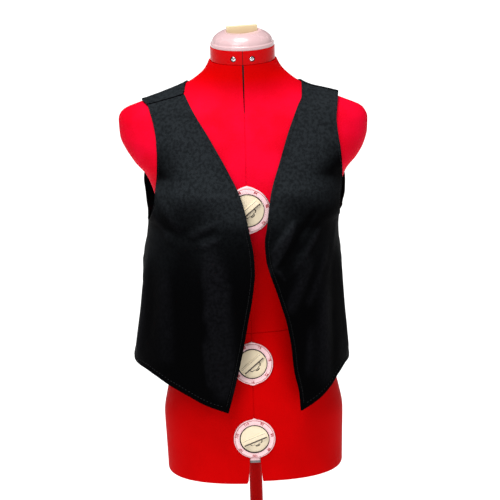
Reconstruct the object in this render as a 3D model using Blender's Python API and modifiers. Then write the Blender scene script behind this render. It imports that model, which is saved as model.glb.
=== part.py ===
"""A sleeveless vest, open at the front, on an adjustable limbless dress form.

Everything is in metres and at real size. The origin is the middle of the
foot's underside, Z is up and the front faces -Y, so the wearer's right is at
-X. The vest has a right front, a left front and a back, each a wall of cloth.
"""
from collections import namedtuple
import math

import bmesh
import bpy
import numpy as np
from mathutils import Matrix, Vector
from mathutils.bvhtree import BVHTree

for old in list(bpy.data.objects):
    bpy.data.objects.remove(old, do_unlink=True)

# General clearances
SEAM_GAP = 0.0003
FACE_GAP = 0.0003
CLOTH_WALL = 0.0016
CLOTH_REST = 0.0013
CLOTH_CLEAR = 0.0009

# Grid of each cloth panel
FRONT_ACROSS = 10
FRONT_LOWER = 13
FRONT_UPPER = 11
BACK_MIDDLE = 6
YOKE_SHARES = (0.0, 0.22, 0.42, 0.58, 0.70, 0.80, 0.90, 1.0)
YOKE_HEIGHT = 1.190
YOKE_NECK = 0.078
BORDER_COLUMNS = 4.0
ARMHOLE_ROUND = 1.6
SETTLE_ROUNDS = 40
SETTLE_PLACES = (0.0, 0.25, 0.5, 0.75, 1.0)
SETTLE_SHARE = 0.2
BODY_RADIUS = 0.155
FOLD_OUTWARD = 1.3

# Dress form heights
FORM_BOTTOM = 0.5985
NECK_TOP = 1.3120
SHOULDER_SKEW = 0.0040
RIGHT_ARM_OUT = 0.0050
PANEL_STEP = 0.0040
BUST_HEIGHT = 1.075
BUST_APART = 0.085
BUST_OUT = 0.020
BUST_WIDE = 0.050
BUST_ABOVE = 0.062
BUST_BELOW = 0.044
BUST_FACING = 2.5

# Stand
POLE_RADIUS = 0.0112
POLE_BORE = 0.0116
POLE_TOP = 0.720
SLEEVE_RADIUS = 0.0158
SLEEVE_TOP = 0.430
FOOT_RADIUS = 0.200
FOOT_FLOOR = 0.014
HUB_TOP = 0.055
COLLAR_RADIUS = 0.0245
COLLAR_BOTTOM = 0.396
COLLAR_TOP = 0.442
KNOB_RADIUS = 0.016
KNOB_LENGTH = 0.040
POLE_SIDES = 24
COLLAR_EDGE = 0.002
KNOB_EDGE = 0.002
KNOB_GRIP_BACK = 0.0240
KNOB_SHANK_RADIUS = 0.0060
KNOB_SHANK_END = 0.0055
KNOB_SHANK_FRONT = 0.0230
HUB_RADIUS = 0.0300
HUB_FOOT_RADIUS = 0.0310
FOOT_SLOPE = [(0.0400, 0.0165), (0.1850, 0.0115), (0.1960, 0.0090)]
FOOT_RIM = 0.0050

# Neck
BAND_RADIUS = 0.0540
BAND_INNER = 0.0480
BAND_TOP = 1.3355
SCREW_HEIGHT = 1.3222
SCREW_TURN = 17.0
SCREW_RADIUS = 0.0043
SCREW_HOLE = 0.0047
SCREW_SUNK = 0.0035
CAP_RADIUS = 0.0530
CAP_LIP = 0.0060
CAP_LIP_EDGE = 0.0006
BAND_EDGE = 0.0006
DOME_RADIUS = 0.0508
DOME_RISE = 0.0245
GRIP_LENGTH = 0.0520
GRIP_TURN = 12.0
GRIP_DEPTH = 0.0070
GRIP_TOP = 1.3688
GRIP_SEAT = 1.3545
GRIP_ROUND = 0.0009
CAP_TOP = 1.40
FingerHollow = namedtuple("FingerHollow", "off height length depth rise")

FINGER_HOLLOWS = [
    FingerHollow(-0.0130, 1.3700, 0.0420, 0.0300, 0.0148),
    FingerHollow(0.0050, 1.3690, 0.0240, 0.0130, 0.0110),
]

# Width dials at the front
DIAL_SUNK = 0.0042
DIAL_PROUD = 0.0022
DISC_PROUD = 0.0012
DIAL_GRIP_HALF = 0.0053
DIAL_GRIP_PROUD = 0.0022
DIAL_GRIP_INSIDE = 0.0040
DIAL_HOLLOW_FLOOR = -0.0012
DISC_EDGE = 0.0005
RING_SLOPE = 0.0030
Dial = namedtuple("Dial", "name height radius disc_radius grip_angle")

DIALS = [
    Dial("bust", 1.0806, 0.0386, 0.0272, 40.5),
    Dial("waist", 0.8129, 0.0350, 0.0242, 40.5),
    Dial("hip", 0.6815, 0.0352, 0.0242, 22.0),
]

Section = namedtuple("Section", "height half_width front back squareness")

FORM_SECTIONS = [
    Section(0.5985, 0.1505, 0.1095, 0.112, 2.40),
    Section(0.650, 0.1520, 0.1115, 0.118, 2.35),
    Section(0.700, 0.1535, 0.113, 0.121, 2.30),
    Section(0.734, 0.1480, 0.1142, 0.119, 2.25),
    Section(0.780, 0.1360, 0.112, 0.106, 2.20),
    Section(0.820, 0.1255, 0.105, 0.092, 2.15),
    Section(0.867, 0.1165, 0.097, 0.079, 2.10),
    Section(0.910, 0.1175, 0.096, 0.079, 2.10),
    Section(0.960, 0.1280, 0.100, 0.088, 2.15),
    Section(1.020, 0.1430, 0.108, 0.096, 2.20),
    Section(1.070, 0.1515, 0.112, 0.099, 2.25),
    Section(1.100, 0.1590, 0.112, 0.100, 2.25),
    Section(1.125, 0.1700, 0.109, 0.099, 2.20),
    Section(1.146, 0.1880, 0.105, 0.097, 2.15),
    Section(1.165, 0.1985, 0.100, 0.093, 2.10),
    Section(1.190, 0.2050, 0.092, 0.087, 2.05),
    Section(1.212, 0.2060, 0.082, 0.079, 2.00),
    Section(1.229, 0.1985, 0.074, 0.072, 1.90),
    Section(1.243, 0.1690, 0.067, 0.066, 1.72),
    Section(1.256, 0.1350, 0.062, 0.061, 1.62),
    Section(1.270, 0.1010, 0.0585, 0.0575, 1.67),
    Section(1.283, 0.0800, 0.0565, 0.0560, 1.80),
    Section(1.297, 0.0650, 0.0555, 0.0550, 1.95),
    Section(1.3105, 0.0575, 0.0555, 0.0550, 2.00),
    Section(1.3150, 0.0560, 0.0550, 0.0550, 2.00),
]

FORM_HEIGHTS = (
    [0.6095, 0.625, 0.650, 0.675, 0.700, 0.725, 0.750, 0.780, 0.810, 0.840, 0.867, 0.895]
    + [0.925, 0.955, 0.985, 1.010, 1.032, 1.052, 1.072, 1.092, 1.110, 1.128, 1.146, 1.165]
    + [1.185, 1.203, 1.218, 1.230, 1.241, 1.251, 1.261, 1.271, 1.283, 1.297, 1.3075, NECK_TOP]
)
FORM_SIDES = 44
FORM_EDGE_ROUND = 0.0040

# Gaps at the front of the form: the left half of each outline, across and height,
# and how far front and back each gap runs
FRONT_SLOT = [(-0.0086, 0.655), (-0.0092, 0.640), (-0.0118, 0.606), (-0.0150, 0.598), (-0.0150, 0.590)]
NECK_GAP = [(-0.0005, 1.235), (-0.0014, 1.290), (-0.0016, 1.320)]
FRONT_SLOT_RUN = (-0.150, 0.0)
NECK_GAP_RUN = (-0.080, -0.0515)
SLOT_GUIDE = [(-0.00866, 0.6456), (-0.00905, 0.6370)]
SLOT_GUIDE_FRONT = -0.1088
SLOT_GUIDE_BACK = -0.1000

# The cloth's own sections below the arms, where it hangs clear of the form
HangingSection = namedtuple("HangingSection", "height right_side left_side front back squareness")

HANGING_SECTIONS = [
    HangingSection(0.730, 0.2060, 0.1675, 0.137, 0.1230, 2.40),
    HangingSection(0.797, 0.2010, 0.1645, 0.138, 0.1200, 2.40),
    HangingSection(0.890, 0.1870, 0.1575, 0.137, 0.1110, 2.40),
    HangingSection(0.970, 0.1775, 0.1543, 0.136, 0.1065, 2.40),
    HangingSection(1.020, 0.1690, 0.1515, 0.1355, 0.1045, 2.40),
    HangingSection(1.045, 0.1665, 0.1535, 0.1345, 0.1035, 2.40),
    HangingSection(1.060, 0.1720, 0.1610, 0.1335, 0.1037, 2.38),
    HangingSection(1.085, 0.1820, 0.1705, 0.1310, 0.1040, 2.35),
    HangingSection(1.120, 0.1950, 0.1800, 0.1260, 0.1035, 2.30),
    HangingSection(1.160, 0.2030, 0.2000, 0.1080, 0.0980, 2.10),
]
HANGS_BELOW = 1.050
FITS_ABOVE = 1.150

# Borders of the fronts: how far each stands across from the middle, by height
Mark = namedtuple("Mark", "height across")

RIGHT_FRONT_EDGE = [
    Mark(0.7375, -0.0420),
    Mark(0.7810, -0.0300),
    Mark(0.8370, -0.0165),
    Mark(0.8920, -0.0050),
    Mark(0.9470, 0.0055),
    Mark(0.9820, 0.0092),
    Mark(1.0090, 0.0082),
    Mark(1.0430, 0.0030),
    Mark(1.0960, -0.0080),
    Mark(1.1470, -0.0310),
    Mark(1.1970, -0.0595),
    Mark(1.2400, -0.0875),
]
LEFT_FRONT_EDGE = [
    Mark(0.7355, 0.0785),
    Mark(0.7640, 0.0770),
    Mark(0.8070, 0.0692),
    Mark(0.8485, 0.0658),
    Mark(0.8904, 0.0590),
    Mark(0.9461, 0.0434),
    Mark(0.9739, 0.0350),
    Mark(1.0016, 0.0283),
    Mark(1.0289, 0.0268),
    Mark(1.0558, 0.0311),
    Mark(1.1074, 0.0392),
    Mark(1.1572, 0.0552),
    Mark(1.2051, 0.0716),
    Mark(1.2440, 0.0893),
    Mark(1.2545, 0.0955),
]
RIGHT_FRONT_ARMHOLE = [
    Mark(1.0508, -0.1655),
    Mark(1.0640, -0.1600),
    Mark(1.0880, -0.1530),
    Mark(1.1070, -0.1505),
    Mark(1.1380, -0.1470),
    Mark(1.1670, -0.1460),
    Mark(1.1930, -0.1470),
    Mark(1.2180, -0.1515),
]
LEFT_FRONT_ARMHOLE = [
    Mark(1.0430, 0.1540),
    Mark(1.0560, 0.1530),
    Mark(1.0880, 0.1545),
    Mark(1.1120, 0.1580),
    Mark(1.1370, 0.1585),
    Mark(1.1720, 0.1565),
    Mark(1.1990, 0.1530),
    Mark(1.2200, 0.1515),
]
RIGHT_BACK_ARMHOLE = [
    Mark(1.0520, -0.1672),
    Mark(1.0660, -0.1692),
    Mark(1.0850, -0.1705),
    Mark(1.1050, -0.1718),
    Mark(1.1300, -0.1690),
    Mark(1.1600, -0.1620),
    Mark(1.1900, -0.1580),
]
LEFT_BACK_ARMHOLE = [
    Mark(1.0440, 0.1545),
    Mark(1.0580, 0.1595),
    Mark(1.0780, 0.1645),
    Mark(1.1000, 0.1655),
    Mark(1.1300, 0.1590),
    Mark(1.1600, 0.1500),
    Mark(1.1900, 0.1465),
]

# Hems: the height by the turn round the body, from centre front in degrees
HemMark = namedtuple("HemMark", "turn height")

RIGHT_HEM = [
    HemMark(9.0, 0.7375),
    HemMark(19.5, 0.7520),
    HemMark(27.8, 0.7655),
    HemMark(42.5, 0.7850),
    HemMark(51.0, 0.7945),
    HemMark(62.5, 0.8015),
    HemMark(90.0, 0.8040),
    HemMark(180.0, 0.8010),
]
LEFT_HEM = [
    HemMark(25.0, 0.7355),
    HemMark(37.8, 0.7510),
    HemMark(48.6, 0.7680),
    HemMark(58.0, 0.7840),
    HemMark(73.0, 0.7950),
    HemMark(90.0, 0.7940),
    HemMark(180.0, 0.8010),
]

# Shoulders: across from the middle, and the seam's turn over the shoulder,
# where 90 is the ridge and more is forward of it
Shoulder = namedtuple("Shoulder", "neck_across arm_across neck_turn arm_turn ridge_arm_across")

RIGHT_SHOULDER = Shoulder(-0.0993, -0.1615, 114.0, 115.0, -0.1695)
LEFT_SHOULDER = Shoulder(0.0956, 0.1550, 92.0, 92.0, 0.1552)

# How far each shoulder end stands off the form, and where that begins across
ShoulderLift = namedtuple("ShoulderLift", "rise start end")

RIGHT_LIFT = ShoulderLift(0.0004, 0.140, 0.172)
LEFT_LIFT = ShoulderLift(0.0052, 0.104, 0.152)
LIFT_FROM, LIFT_FULL = 1.205, 1.245

# The back's neck edge, from each shoulder's neck point to the middle
NeckMark = namedtuple("NeckMark", "turn width_share")

RIGHT_BACK_NECK = [
    NeckMark(105.0, 1.001),
    NeckMark(96.0, 0.980),
    NeckMark(85.0, 0.954),
    NeckMark(73.0, 0.904),
    NeckMark(61.0, 0.811),
    NeckMark(49.5, 0.594),
    NeckMark(42.0, 0.302),
    NeckMark(40.0, 0.000),
]
LEFT_BACK_NECK = [
    NeckMark(87.0, 0.988),
    NeckMark(81.0, 0.966),
    NeckMark(74.0, 0.936),
    NeckMark(67.0, 0.890),
    NeckMark(59.0, 0.810),
    NeckMark(49.5, 0.612),
    NeckMark(42.0, 0.311),
    NeckMark(40.0, 0.000),
]
BACK_NECK = 2 * len(RIGHT_BACK_NECK)

# Where the side seams end under the arms
RIGHT_UNDERARM = 1.0480
LEFT_UNDERARM = 1.0400

# Largest folds: soft ridges and troughs, by turn and height
Fold = namedtuple("Fold", "turn_a height_a turn_b height_b half_width lift")

FOLDS = [
    Fold(-21, 1.020, -14, 0.775, 0.020, 0.0040),
    Fold(-35, 1.000, -31, 0.800, 0.018, -0.0028),
    Fold(-50, 0.985, -47, 0.830, 0.020, 0.0022),
    Fold(-71, 0.990, -74, 0.835, 0.017, 0.0042),
    Fold(-86, 0.960, -88, 0.820, 0.014, -0.0026),
    Fold(24, 1.050, 11, 0.975, 0.0095, 0.0028),
    Fold(30, 1.020, 16, 0.945, 0.0110, -0.0026),
    Fold(36, 0.995, 22, 0.915, 0.0120, 0.0030),
    Fold(47, 0.950, 42, 0.790, 0.0190, 0.0034),
    Fold(60, 1.000, 60, 0.850, 0.0170, -0.0022),
    Fold(76, 0.985, 79, 0.820, 0.0180, 0.0036),
    Fold(-108, 0.990, -112, 0.825, 0.0200, 0.0040),
    Fold(-131, 1.010, -136, 0.815, 0.0230, -0.0030),
    Fold(-152, 1.030, -157, 0.820, 0.0240, 0.0052),
    Fold(176, 1.060, 179, 0.830, 0.0260, -0.0036),
    Fold(149, 1.020, 153, 0.830, 0.0250, 0.0045),
    Fold(124, 0.980, 121, 0.815, 0.0210, -0.0028),
    Fold(104, 0.995, 106, 0.830, 0.0190, 0.0034),
]

collection = bpy.data.collections.new("vest_on_dress_form")
bpy.context.scene.collection.children.link(collection)
cutters = bpy.data.collections.new("cutters")
bpy.context.scene.collection.children.link(cutters)


def curve_through(places, values):
    """A smooth function through the points that never runs past them."""
    x = np.asarray(places, float)
    y = np.asarray(values, float)
    step = np.diff(x)
    slope = np.diff(y) / step
    tangent = np.zeros_like(y)
    tangent[0], tangent[-1] = slope[0], slope[-1]
    for i in range(1, len(x) - 1):
        if slope[i - 1] * slope[i] > 0:
            before, after = 2 * step[i] + step[i - 1], step[i] + 2 * step[i - 1]
            tangent[i] = (before + after) / (before / slope[i - 1] + after / slope[i])

    def at(place):
        place = min(max(place, x[0]), x[-1])
        i = min(int(np.searchsorted(x, place, side="right")) - 1, len(step) - 1)
        s = (place - x[i]) / step[i]
        return float(
            (2 * s**3 - 3 * s**2 + 1) * y[i]
            + (s**3 - 2 * s**2 + s) * step[i] * tangent[i]
            + (3 * s**2 - 2 * s**3) * y[i + 1]
            + (s**3 - s**2) * step[i] * tangent[i + 1]
        )

    return at


def columns(table):
    """One smooth function of height for each column of a table of sections."""
    heights = [row.height for row in table]
    return {
        name: curve_through(heights, [getattr(row, name) for row in table])
        for name in table[0]._fields[1:]
    }


def smooth_step(value, low, high):
    """0 below one value and 1 above another, with a smooth rise between."""
    s = min(max((value - low) / (high - low), 0.0), 1.0)
    return s * s * (3 - 2 * s)


form = columns(FORM_SECTIONS)
hanging = columns(HANGING_SECTIONS)


def round_point(turn, half_width, front, back, squareness):
    """A point of a superellipse, from its turn in degrees round from -Y."""
    s, c = math.sin(math.radians(turn)), math.cos(math.radians(turn))
    power = 2 / squareness
    across = half_width * math.copysign(abs(s) ** power, s)
    deep = -front * abs(c) ** power if c >= 0 else back * abs(c) ** power
    return across, deep


def bust(across, height):
    """How far the two cups stand forward of the plain section."""
    side = (abs(across) - BUST_APART) / BUST_WIDE
    rise = height - BUST_HEIGHT
    rise /= BUST_ABOVE if rise > 0 else BUST_BELOW
    return BUST_OUT * math.exp(-side * side - rise * rise)


def skew(across, height):
    """How much higher the form stands at its right shoulder than at its left."""
    share = smooth_step(height, 1.14, 1.22) * (1 - smooth_step(height, 1.265, 1.305))
    return -SHOULDER_SKEW * share * across / 0.19


def half_width_at(side, height):
    """The form's half width on one side. Its right shoulder stands out a little more."""
    if side > 0:
        return form["half_width"](height)
    share = smooth_step(height, 1.150, 1.185) * (1 - smooth_step(height, 1.222, 1.240))
    return form["half_width"](height) + RIGHT_ARM_OUT * share


def form_point(turn, height):
    """A point of the form's surface."""
    across, deep = round_point(
        turn, half_width_at(math.sin(math.radians(turn)), height), form["front"](height),
        form["back"](height), form["squareness"](height),
    )
    facing = max(math.cos(math.radians(turn)), 0.0)
    deep -= bust(across, height) * min(1.0, BUST_FACING * facing)
    return Vector((across, deep, height + skew(across, height)))


def form_normal(turn, height):
    """The outward direction of the form's surface."""
    along = form_point(turn + 1.5, height) - form_point(turn - 1.5, height)
    up = form_point(turn, height + 0.003) - form_point(turn, height - 0.003)
    return along.cross(up).normalized()


def hanging_point(turn, height):
    """A point of the cloth where it hangs by its own shape."""
    side = hanging["left_side"] if turn >= 0 and turn <= 180 else hanging["right_side"]
    across, deep = round_point(
        turn, side(height), hanging["front"](height), hanging["back"](height),
        hanging["squareness"](height),
    )
    return Vector((across, deep, height))


def fold_lift(turn, height):
    """How far the folds lift the cloth at a place."""
    lift = 0.0
    for fold in FOLDS:
        away = turn - fold.turn_a
        away -= 360 * round(away / 360)
        across = math.radians(away) * BODY_RADIUS
        run = Vector(
            (math.radians(fold.turn_b - fold.turn_a) * BODY_RADIUS, fold.height_b - fold.height_a)
        )
        place = Vector((across, height - fold.height_a))
        share = place.dot(run) / run.length_squared
        off = (place - run * min(max(share, 0.0), 1.0)).length / fold.half_width
        ends = smooth_step(share, -0.18, 0.22) * (1 - 0.35 * smooth_step(share, 0.7, 1.3))
        lift += fold.lift * ends * math.exp(-off * off)
    return lift


def shoulder_lift(point):
    """How far the cloth stands off the form towards its shoulder ends."""
    lift = LEFT_LIFT if point.x > 0 else RIGHT_LIFT
    out = smooth_step(abs(point.x), lift.start, lift.end)
    return lift.rise * out * smooth_step(point.z, LIFT_FROM, LIFT_FULL)


def cloth_point(turn, height):
    """A point of the cloth's inner face."""
    turn -= 360 * math.floor((turn + 180) / 360)
    normal = form_normal(turn, height)
    fitted = form_point(turn, height)
    fitted = fitted + normal * (CLOTH_REST + shoulder_lift(fitted))
    share = smooth_step(height, HANGS_BELOW, FITS_ABOVE)
    if share >= 1:
        return fitted
    loose = hanging_point(turn, min(height, HANGING_SECTIONS[-1].height))
    outward = Vector((loose.x / FOLD_OUTWARD, loose.y, 0)).normalized()
    loose = loose + outward * fold_lift(turn, height)
    point = loose.lerp(fitted, share)
    point.z = height + (fitted.z - height) * share
    return point


def turn_of(across, height, behind=False):
    """The turn at which the cloth stands this far across, at a height."""
    sign = 1 if across >= 0 else -1
    low, high = 0.0, 90.0
    for _ in range(30):
        middle = (low + high) / 2
        there = cloth_point(sign * (180 - middle if behind else middle), height)
        if abs(there.x) < abs(across):
            low = middle
        else:
            high = middle
    return sign * (180 - low if behind else low)


def over_shoulder(across, angle, extra=0.0):
    """The form's surface over the shoulder, from the yoke line's level at the
    back, 0, over the ridge, 90, and down the front, 180."""
    turn = math.radians(angle)
    out = Vector((0.0, math.cos(turn), math.sin(turn)))
    low, high = 0.0, 0.16
    for _ in range(34):
        reach = (low + high) / 2
        place = Vector((across, 0.0, YOKE_HEIGHT)) + out * reach
        if place.z >= NECK_TOP or not inside_form(place):
            high = reach
        else:
            low = reach
    place = Vector((across, 0.0, YOKE_HEIGHT)) + out * low
    level = place.z - skew(place.x, place.z)
    normal = form_normal(section_turn(place), level)
    return place + normal * (CLOTH_REST + extra + shoulder_lift(place))


def inside_form(place):
    """Whether a point is inside the form."""
    level = place.z - skew(place.x, place.z)
    half_width = half_width_at(place.x, level)
    deep = form["front"](level) if place.y < 0 else form["back"](level)
    if place.y < 0:
        deep += bust(place.x, level)
    n = form["squareness"](level)
    return abs(place.x / half_width) ** n + abs(place.y / deep) ** n < 1


def section_turn(place):
    """The turn, in degrees round from the front, of a point on the form."""
    level = place.z - skew(place.x, place.z)
    share = min(abs(place.x) / half_width_at(place.x, level), 1.0)
    turn = math.degrees(math.asin(share ** (form["squareness"](level) / 2)))
    if place.y > 0:
        turn = 180 - turn
    return math.copysign(turn, place.x)


def material(name, colour, roughness, metallic=0.0):
    """A plain surface of one colour."""
    made = bpy.data.materials.new(name)
    made.use_nodes = True
    shader = made.node_tree.nodes["Principled BSDF"]
    shader.inputs["Base Color"].default_value = (*colour, 1.0)
    shader.inputs["Roughness"].default_value = roughness
    shader.inputs["Metallic"].default_value = metallic
    made.diffuse_color = (*colour, 1.0)
    return made


BLACK_CLOTH = material("black_twill", (0.008, 0.010, 0.012), 0.75)
RED_JERSEY = material("red_jersey", (0.70, 0.004, 0.008), 0.70)
RED_PLASTIC = material("red_plastic", (0.55, 0.004, 0.008), 0.25)
PINK_PLASTIC = material("pink_plastic", (0.93, 0.66, 0.68), 0.30)
CREAM_PLASTIC = material("cream_plastic", (0.90, 0.76, 0.50), 0.40)
CHROME = material("chrome", (0.80, 0.80, 0.82), 0.15, 1.0)
POLE_PAINT = material("red_pole_paint", (0.36, 0.003, 0.005), 0.35)
DARK_METAL = material("dark_painted_metal", (0.05, 0.05, 0.055), 0.45)


def add_object(name, mesh, surface, holder=collection):
    """An object of a mesh, smooth but for its sharp edges."""
    made = bpy.data.objects.new(name, mesh)
    holder.objects.link(made)
    if surface:
        mesh.materials.append(surface)
        mesh.shade_smooth()
        mesh.set_sharp_from_angle(angle=math.radians(35))
    return made


def mesh_from(name, points, faces):
    """A mesh of the points and faces given."""
    mesh = bpy.data.meshes.new(name)
    mesh.from_pydata([tuple(p) for p in points], [], faces)
    mesh.update()
    return mesh


def turned(name, profile, surface, sides=40, holder=collection):
    """A turned shape, from (radius, height) down its outer side."""
    points = [(radius, 0, height) for radius, height in profile]
    mesh = bpy.data.meshes.new(name)
    mesh.from_pydata(points, [(i, i + 1) for i in range(len(points) - 1)], [])
    made = add_object(name, mesh, surface, holder)
    screw = made.modifiers.new("turn", "SCREW")
    screw.steps = screw.render_steps = sides
    screw.use_merge_vertices = True
    screw.merge_threshold = 0.0001
    return made


def turned_ring(name, profile, surface, sides=40):
    """A turned shape whose profile closes on itself, clear of the axis."""
    return turned(name, profile + profile[:1], surface, sides)


def as_cutter(made):
    """Marks an object as one that only shapes others."""
    made.hide_render = True
    made.display_type = "WIRE"
    return made


def cylinder_cutter(name, radius, low, high, sides=40):
    """An upright cylinder that cuts, about its own axis."""
    mesh = bpy.data.meshes.new(name)
    drum = bmesh.new()
    bmesh.ops.create_cone(
        drum, cap_ends=True, segments=sides, radius1=radius, radius2=radius, depth=high - low
    )
    bmesh.ops.translate(drum, verts=drum.verts, vec=(0, 0, (low + high) / 2))
    drum.to_mesh(mesh)
    drum.free()
    return as_cutter(add_object(name, mesh, None, cutters))


def prism_mesh(name, outline, y_low, y_high):
    """A prism with an outline in X and Z, run along Y."""
    count = len(outline)
    points = [(x, y_low, z) for x, z in outline] + [(x, y_high, z) for x, z in outline]
    faces = [tuple(range(count)), tuple(range(2 * count - 1, count - 1, -1))]
    for i in range(count):
        after = (i + 1) % count
        faces.append((i, i + count, after + count, after))
    mesh = mesh_from(name, points, faces)
    tidy = bmesh.new()
    tidy.from_mesh(mesh)
    bmesh.ops.recalc_face_normals(tidy, faces=tidy.faces)
    tidy.to_mesh(mesh)
    tidy.free()
    return mesh


def prism_cutter(name, outline, y_low, y_high):
    """A prism that cuts."""
    return as_cutter(add_object(name, prism_mesh(name, outline, y_low, y_high), None, cutters))


def both_halves(outline):
    """A whole outline from its left half."""
    return outline + [(-across, height) for across, height in reversed(outline)]


def box_outline(low, high):
    """A box's outline in X and Z."""
    return [(low[0], low[2]), (high[0], low[2]), (high[0], high[2]), (low[0], high[2])]


def box_cutter(name, low, high):
    """A box that cuts, between two corners."""
    return prism_cutter(name, box_outline(low, high), low[1], high[1])


def facing_out(out, place):
    """A frame at a place, whose Z points out level and whose Y is up."""
    up = Vector((0, 0, 1))
    frame = Matrix((up.cross(out), up, out)).transposed().to_4x4()
    frame.translation = place
    return frame


def cut(made, cutter, operation="DIFFERENCE"):
    """Shapes an object with another."""
    change = made.modifiers.new(operation.lower(), "BOOLEAN")
    change.operation = operation
    change.solver = "EXACT"
    change.object = cutter


# Panels of cloth
def border(marks, first=None, last=None):
    """How far a border stands across, by height, with its exact ends."""
    rows = ([first] if first else []) + list(marks) + ([last] if last else [])
    return curve_through([m.height for m in rows], [m.across for m in rows])


def seam_points(shoulder, count):
    """The shoulder seam's points, from the neck to the armhole."""
    points = []
    for i in range(count + 1):
        share = i / count
        across = shoulder.neck_across + (shoulder.arm_across - shoulder.neck_across) * share
        angle = shoulder.neck_turn + (shoulder.arm_turn - shoulder.neck_turn) * share
        points.append(over_shoulder(across, angle))
    return points


def hem_height(side, turn):
    """The hem's height at a turn, on one side of the body."""
    marks = RIGHT_HEM if side < 0 else LEFT_HEM
    return curve_through([m.turn for m in marks], [m.height for m in marks])(abs(turn))


def front_panel(side, edge_marks, armhole_marks, underarm, seam):
    """The rows of a front's inner face, from the hem to the shoulder seam,
    each from the front edge to the side seam or the armhole."""
    tip = edge_marks[0]
    seam_height = [p.z for p in seam]
    edge = border(edge_marks, last=Mark(seam[0].z, seam[0].x))
    side_across = cloth_point(side * 90, underarm).x
    armhole = border(
        armhole_marks, first=Mark(underarm, side_across), last=Mark(seam[-1].z, seam[-1].x)
    )
    side_hem = hem_height(side, 90)
    rows = []
    for i in range(FRONT_LOWER):
        share = i / FRONT_LOWER
        row = []
        edge_height = tip.height + (underarm - tip.height) * share
        side_height = side_hem + (underarm - side_hem) * share
        first = turn_of_signed(edge(edge_height), edge_height)
        last = side * 90
        for j in range(FRONT_ACROSS + 1):
            along = j / FRONT_ACROSS
            turn = first + (last - first) * along
            straight = edge_height + (side_height - edge_height) * along
            hem_first = turn_of_signed(tip.across, tip.height)
            hem_turn = hem_first + (last - hem_first) * along
            chord = tip.height + (side_hem - tip.height) * along
            bow = (hem_height(side, hem_turn) - chord) * (1 - share)
            row.append(cloth_point(turn, straight + bow))
        rows.append(row)
    last_turns = [section_turn_of_cloth(p) for p in seam]
    for i in range(FRONT_UPPER):
        share = i / FRONT_UPPER
        edge_height = underarm + (seam[0].z - underarm) * share
        arm_height = underarm + (seam[-1].z - underarm) * share**ARMHOLE_ROUND
        first = turn_of_signed(edge(edge_height), edge_height)
        last = side * 90 if i == 0 else turn_of(armhole(arm_height), arm_height)
        row = []
        for j in range(FRONT_ACROSS + 1):
            along = j / FRONT_ACROSS
            turn = first + (last - first) * along
            straight = edge_height + (arm_height - edge_height) * along
            chord = seam_height[0] + (seam_height[-1] - seam_height[0]) * along
            bow = (seam_height[j] - chord) * share
            even = last_turns[0] + (last_turns[-1] - last_turns[0]) * along
            sway = (last_turns[j] - even) * share**4
            row.append(cloth_point(turn + sway, straight + bow))
        rows.append(row)
    rows.append(list(seam))
    return rows


def turn_of_signed(across, height):
    """The turn of a front edge, which may stand past the middle."""
    return turn_of(across, height) if abs(across) > 0.0004 else 0.0


def section_turn_of_cloth(point):
    """The turn of a point of the cloth on the front of the shoulder."""
    return turn_of(point.x, point.z)


def back_panel(right_seam, left_seam):
    """The rows of the back's inner face, from the hem up the back, over the
    shoulders' ridges and down to the shoulder seams."""
    count = 2 * FRONT_ACROSS + BACK_NECK
    rows = []
    for i in range(FRONT_LOWER):
        share = i / FRONT_LOWER
        row = []
        for j in range(count + 1):
            turn = -90 - 180 * j / count
            side = -1 if turn >= -180 else 1
            around = abs(turn) if side < 0 else 360 - abs(turn)
            underarm = underarm_height(j / count)
            hem = hem_height(side, around)
            row.append(cloth_point(turn, hem + (underarm - hem) * share))
        rows.append(row)
    right = border(
        RIGHT_BACK_ARMHOLE, first=Mark(RIGHT_UNDERARM, cloth_point(-90, RIGHT_UNDERARM).x)
    )
    left = border(LEFT_BACK_ARMHOLE, first=Mark(LEFT_UNDERARM, cloth_point(90, LEFT_UNDERARM).x))
    for i in range(BACK_MIDDLE):
        share = i / BACK_MIDDLE
        risen = share**ARMHOLE_ROUND
        row = []
        right_height = RIGHT_UNDERARM + (YOKE_HEIGHT - RIGHT_UNDERARM) * risen
        left_height = LEFT_UNDERARM + (YOKE_HEIGHT - LEFT_UNDERARM) * risen
        first = -90.0 if i == 0 else turn_of(right(right_height), right_height, behind=True)
        last = 90.0 if i == 0 else turn_of(left(left_height), left_height, behind=True)
        for j in range(count + 1):
            along = j / count
            even = first + (last - 360 - first) * along
            even_height = underarm_height(along) + (YOKE_HEIGHT - underarm_height(along)) * share
            ends = smooth_step(abs(2 * along - 1), 0.35, 1.0)
            level = right_height + (left_height - right_height) * along
            level = even_height + (level - even_height) * ends
            across = yoke_across(j, count)
            spread = turn_of(across, level, behind=True)
            spread = spread if spread <= 0 else spread - 360
            mix = share * smooth_step(min(j, count - j), 0.0, BORDER_COLUMNS)
            row.append(cloth_point(even + (spread - even) * mix, level))
        rows.append(row)
    for share in YOKE_SHARES:
        row = []
        for j in range(count + 1):
            start = yoke_across(j, count)
            end, angle, ready = yoke_end(j, count, right_seam, left_seam)
            if share == 1 and ready is not None:
                row.append(ready)
                continue
            across = start + (end - start) * share
            if j in (0, count):
                ridge = RIGHT_SHOULDER.ridge_arm_across if j == 0 else LEFT_SHOULDER.ridge_arm_across
                way = [Mark(0.0, start), Mark(90.0, ridge), Mark(angle, end)]
                across = curve_through([m.height for m in way], [m.across for m in way])(angle * share)
            row.append(over_shoulder(across, angle * share))
        rows.append(row)
    return rows


def neck_mark(j):
    """The side and the mark of the back's neck edge at a column of the back."""
    k = j - FRONT_ACROSS - 1
    half = len(RIGHT_BACK_NECK)
    return (-1, RIGHT_BACK_NECK[k]) if k < half else (1, LEFT_BACK_NECK[2 * half - 2 - k])


def underarm_height(along):
    """The height of the underarm level at a share of the way round the back."""
    return RIGHT_UNDERARM + (LEFT_UNDERARM - RIGHT_UNDERARM) * along


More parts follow.
